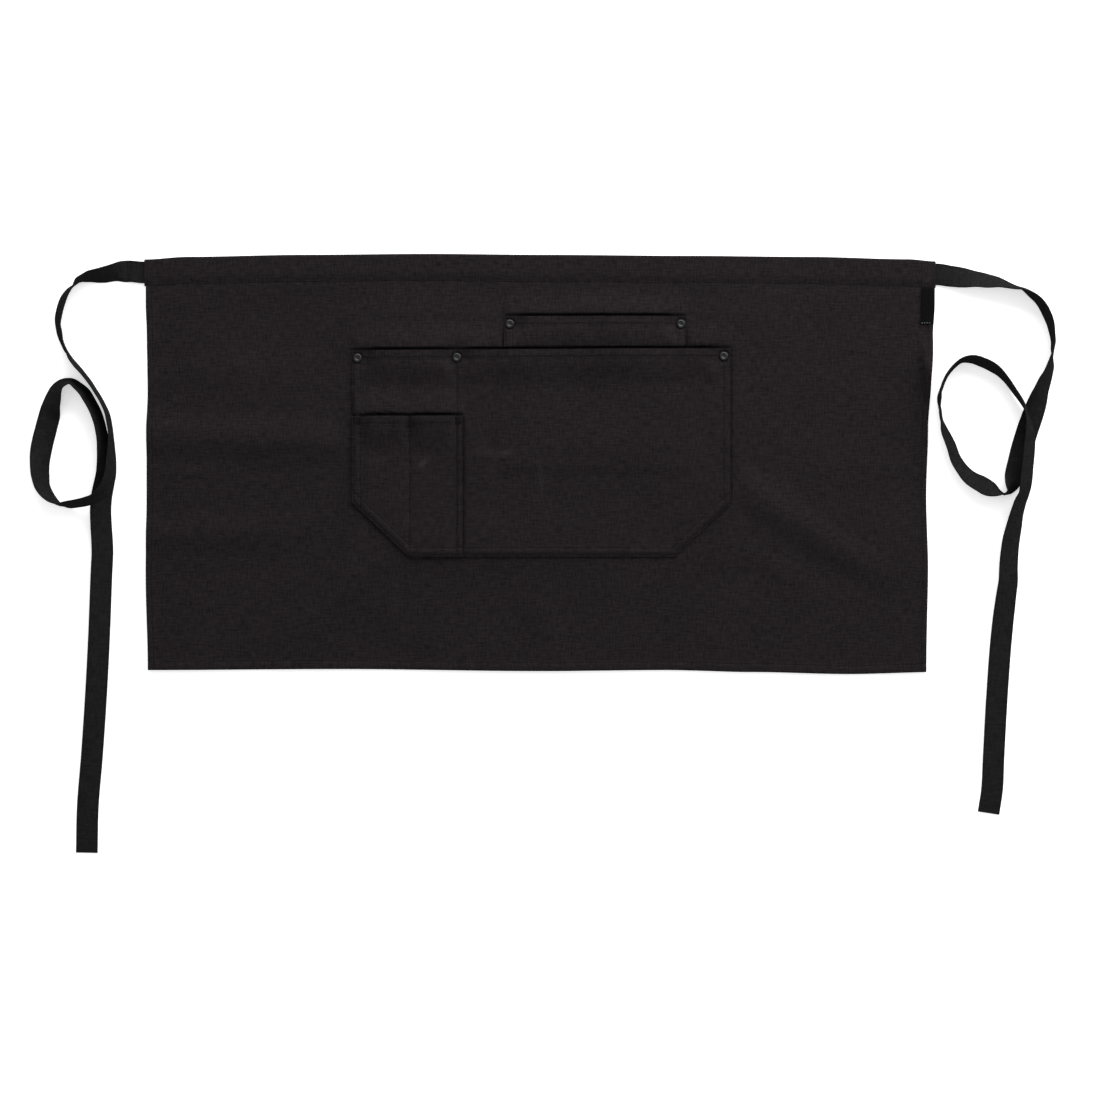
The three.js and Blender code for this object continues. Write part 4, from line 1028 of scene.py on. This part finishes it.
def eased(knots, values, at):
    """A smooth curve through rows: between two of them a cubic with their slopes."""
    slope = np.gradient(values, knots, axis=0)
    k = np.clip(np.searchsorted(knots, at, side="right") - 1, 0, len(knots) - 2)
    span = (knots[k + 1] - knots[k])[:, None]
    t = (at - knots[k])[:, None] / span
    return (
        values[k] * (1 + 2 * t) * (1 - t) ** 2
        + slope[k] * span * t * (1 - t) ** 2
        + values[k + 1] * t * t * (3 - 2 * t)
        + slope[k + 1] * span * t * t * (t - 1)
    )


def tie_sections(side, reach, fall, route, step=2.5):
    """Middle points in millimetres, and the directions across the tie and off its face."""
    end = side * HALF
    root = top_line(end) - BAND_THICK / 2 - SEAM - TIE_WIDTH / 2
    slot = SLOT_FLOOR / TIE_WIDTH
    rows = [(end + side * out, root, 0, slot) for out in (-TIE_TUCK, 0, 1.3)]
    rows += [(end + side * o * reach, root - f * fall, turn, lift) for o, f, turn, lift in route]
    rows = np.array(rows, float)
    knots = np.concatenate([[0], np.cumsum(np.hypot(*np.diff(rows[:, :2], axis=0).T))])
    at = np.linspace(0, knots[-1], round(knots[-1] / step))
    x, y, turn, lift = eased(knots, rows, at).T
    # where it almost stands on its edge it slumps a few degrees further over
    off_edge = (turn % 180) - 90
    near = np.clip(np.abs(off_edge) / 12, 0, 1) * np.clip((50 - np.abs(off_edge)) / 30, 0, 1)
    turn = np.radians(turn + SLUMP * np.sign(off_edge) * near)
    heading = np.gradient(np.stack([x, y], 1), at, axis=0)
    heading /= np.linalg.norm(heading, axis=1)[:, None]
    across = np.stack([-heading[:, 1] * np.cos(turn), heading[:, 0] * np.cos(turn), np.sin(turn)], 1)
    run = np.column_stack([heading, np.zeros(len(at))])
    off = np.cross(run, across)
    rise = (TIE_WIDTH * np.abs(np.sin(turn)) + TIE_CLOTH * np.abs(np.cos(turn))) / 2
    middle = np.stack([x, y, np.maximum(0, lift) * TIE_WIDTH + rise], 1)
    return at, middle, across, off


def make_tie(name, node, side, reach, fall, route):
    at, middle, across, off = tie_sections(side, reach, fall, route)
    shares = [-1, -0.93, -0.86, -0.8, -0.5, -0.2, 0.2, 0.5, 0.8, 0.86, 0.93, 1]

    def spot(j, share, out=0.0):
        """A point of the tie's middle layer; it cups a little and its edges ripple."""
        ripple = 0.35 * noise.noise(Vector((at[j] / 14, share * 1.3, side * 4)))
        on_edge = smooth(1 - abs(off[j][2]) / 0.4)
        cup = 0.5 * noise.noise(Vector((at[j] / 60, 0, side))) + EDGE_CURL * on_edge
        cup *= 1 - share * share
        point = middle[j] + across[j] * share * TIE_WIDTH / 2 + off[j] * (cup + ripple + out)
        return place(point[0], point[1], max(point[2], TIE_CLOTH / 2 * abs(off[j][2])))

    bm = bmesh.new()
    layer = bm.loops.layers.uv.new("cloth")
    bmesh.ops.create_grid(bm, x_segments=len(shares) - 1, y_segments=len(at) - 1, size=0.5)
    flat = {}
    for vert in bm.verts:
        i = round((vert.co.x + 0.5) * (len(shares) - 1))
        j = round((vert.co.y + 0.5) * (len(at) - 1))
        vert.co = spot(j, shares[i])
        flat[vert] = (shares[i] * TIE_WIDTH / 2000, at[j] / 1000)
    for face in bm.faces:
        for loop in face.loops:
            loop[layer].uv = flat[loop.vert]
    piece = finished(name, bm, black_tape, "tie_tape", node)
    walled = piece.modifiers.new("folded_strip", "SOLIDIFY")
    walled.thickness = TIE_CLOTH / 1000
    walled.offset = 0
    soften(piece, 0.4, 3)
    bm = bmesh.new()
    for share in (-1 + 2 * EDGE_ROW / TIE_WIDTH, 1 - 2 * EDGE_ROW / TIE_WIDTH):
        for face_side in (-1, 1):
            out = face_side * (TIE_CLOTH / 2 + 0.05)
            points = [spot(j, share, out) for j in range(HIDDEN, len(at) - LAST)]
            sew(bm, points, wide=0.45, tall=0.3, normals=off[HIDDEN:-LAST])
    ends = [spot(len(at) - 4, s, TIE_CLOTH / 2 + 0.05) for s in np.linspace(-0.84, 0.84, 12)]
    sew(bm, ends, wide=0.45, tall=0.3)
    sewn = finished(name.replace("strip", "stitching"), bm, thread, "tie_tape")


black_tape = twill("black_twill_tape", "0f0f0f", "232323", uneven=0.5)
make_tie("tie_strip_left", "tie_left", -1, 115, 587, LEFT_ROUTE)
make_tie("tie_strip_right", "tie_right", 1, 119, 545, RIGHT_ROUTE)
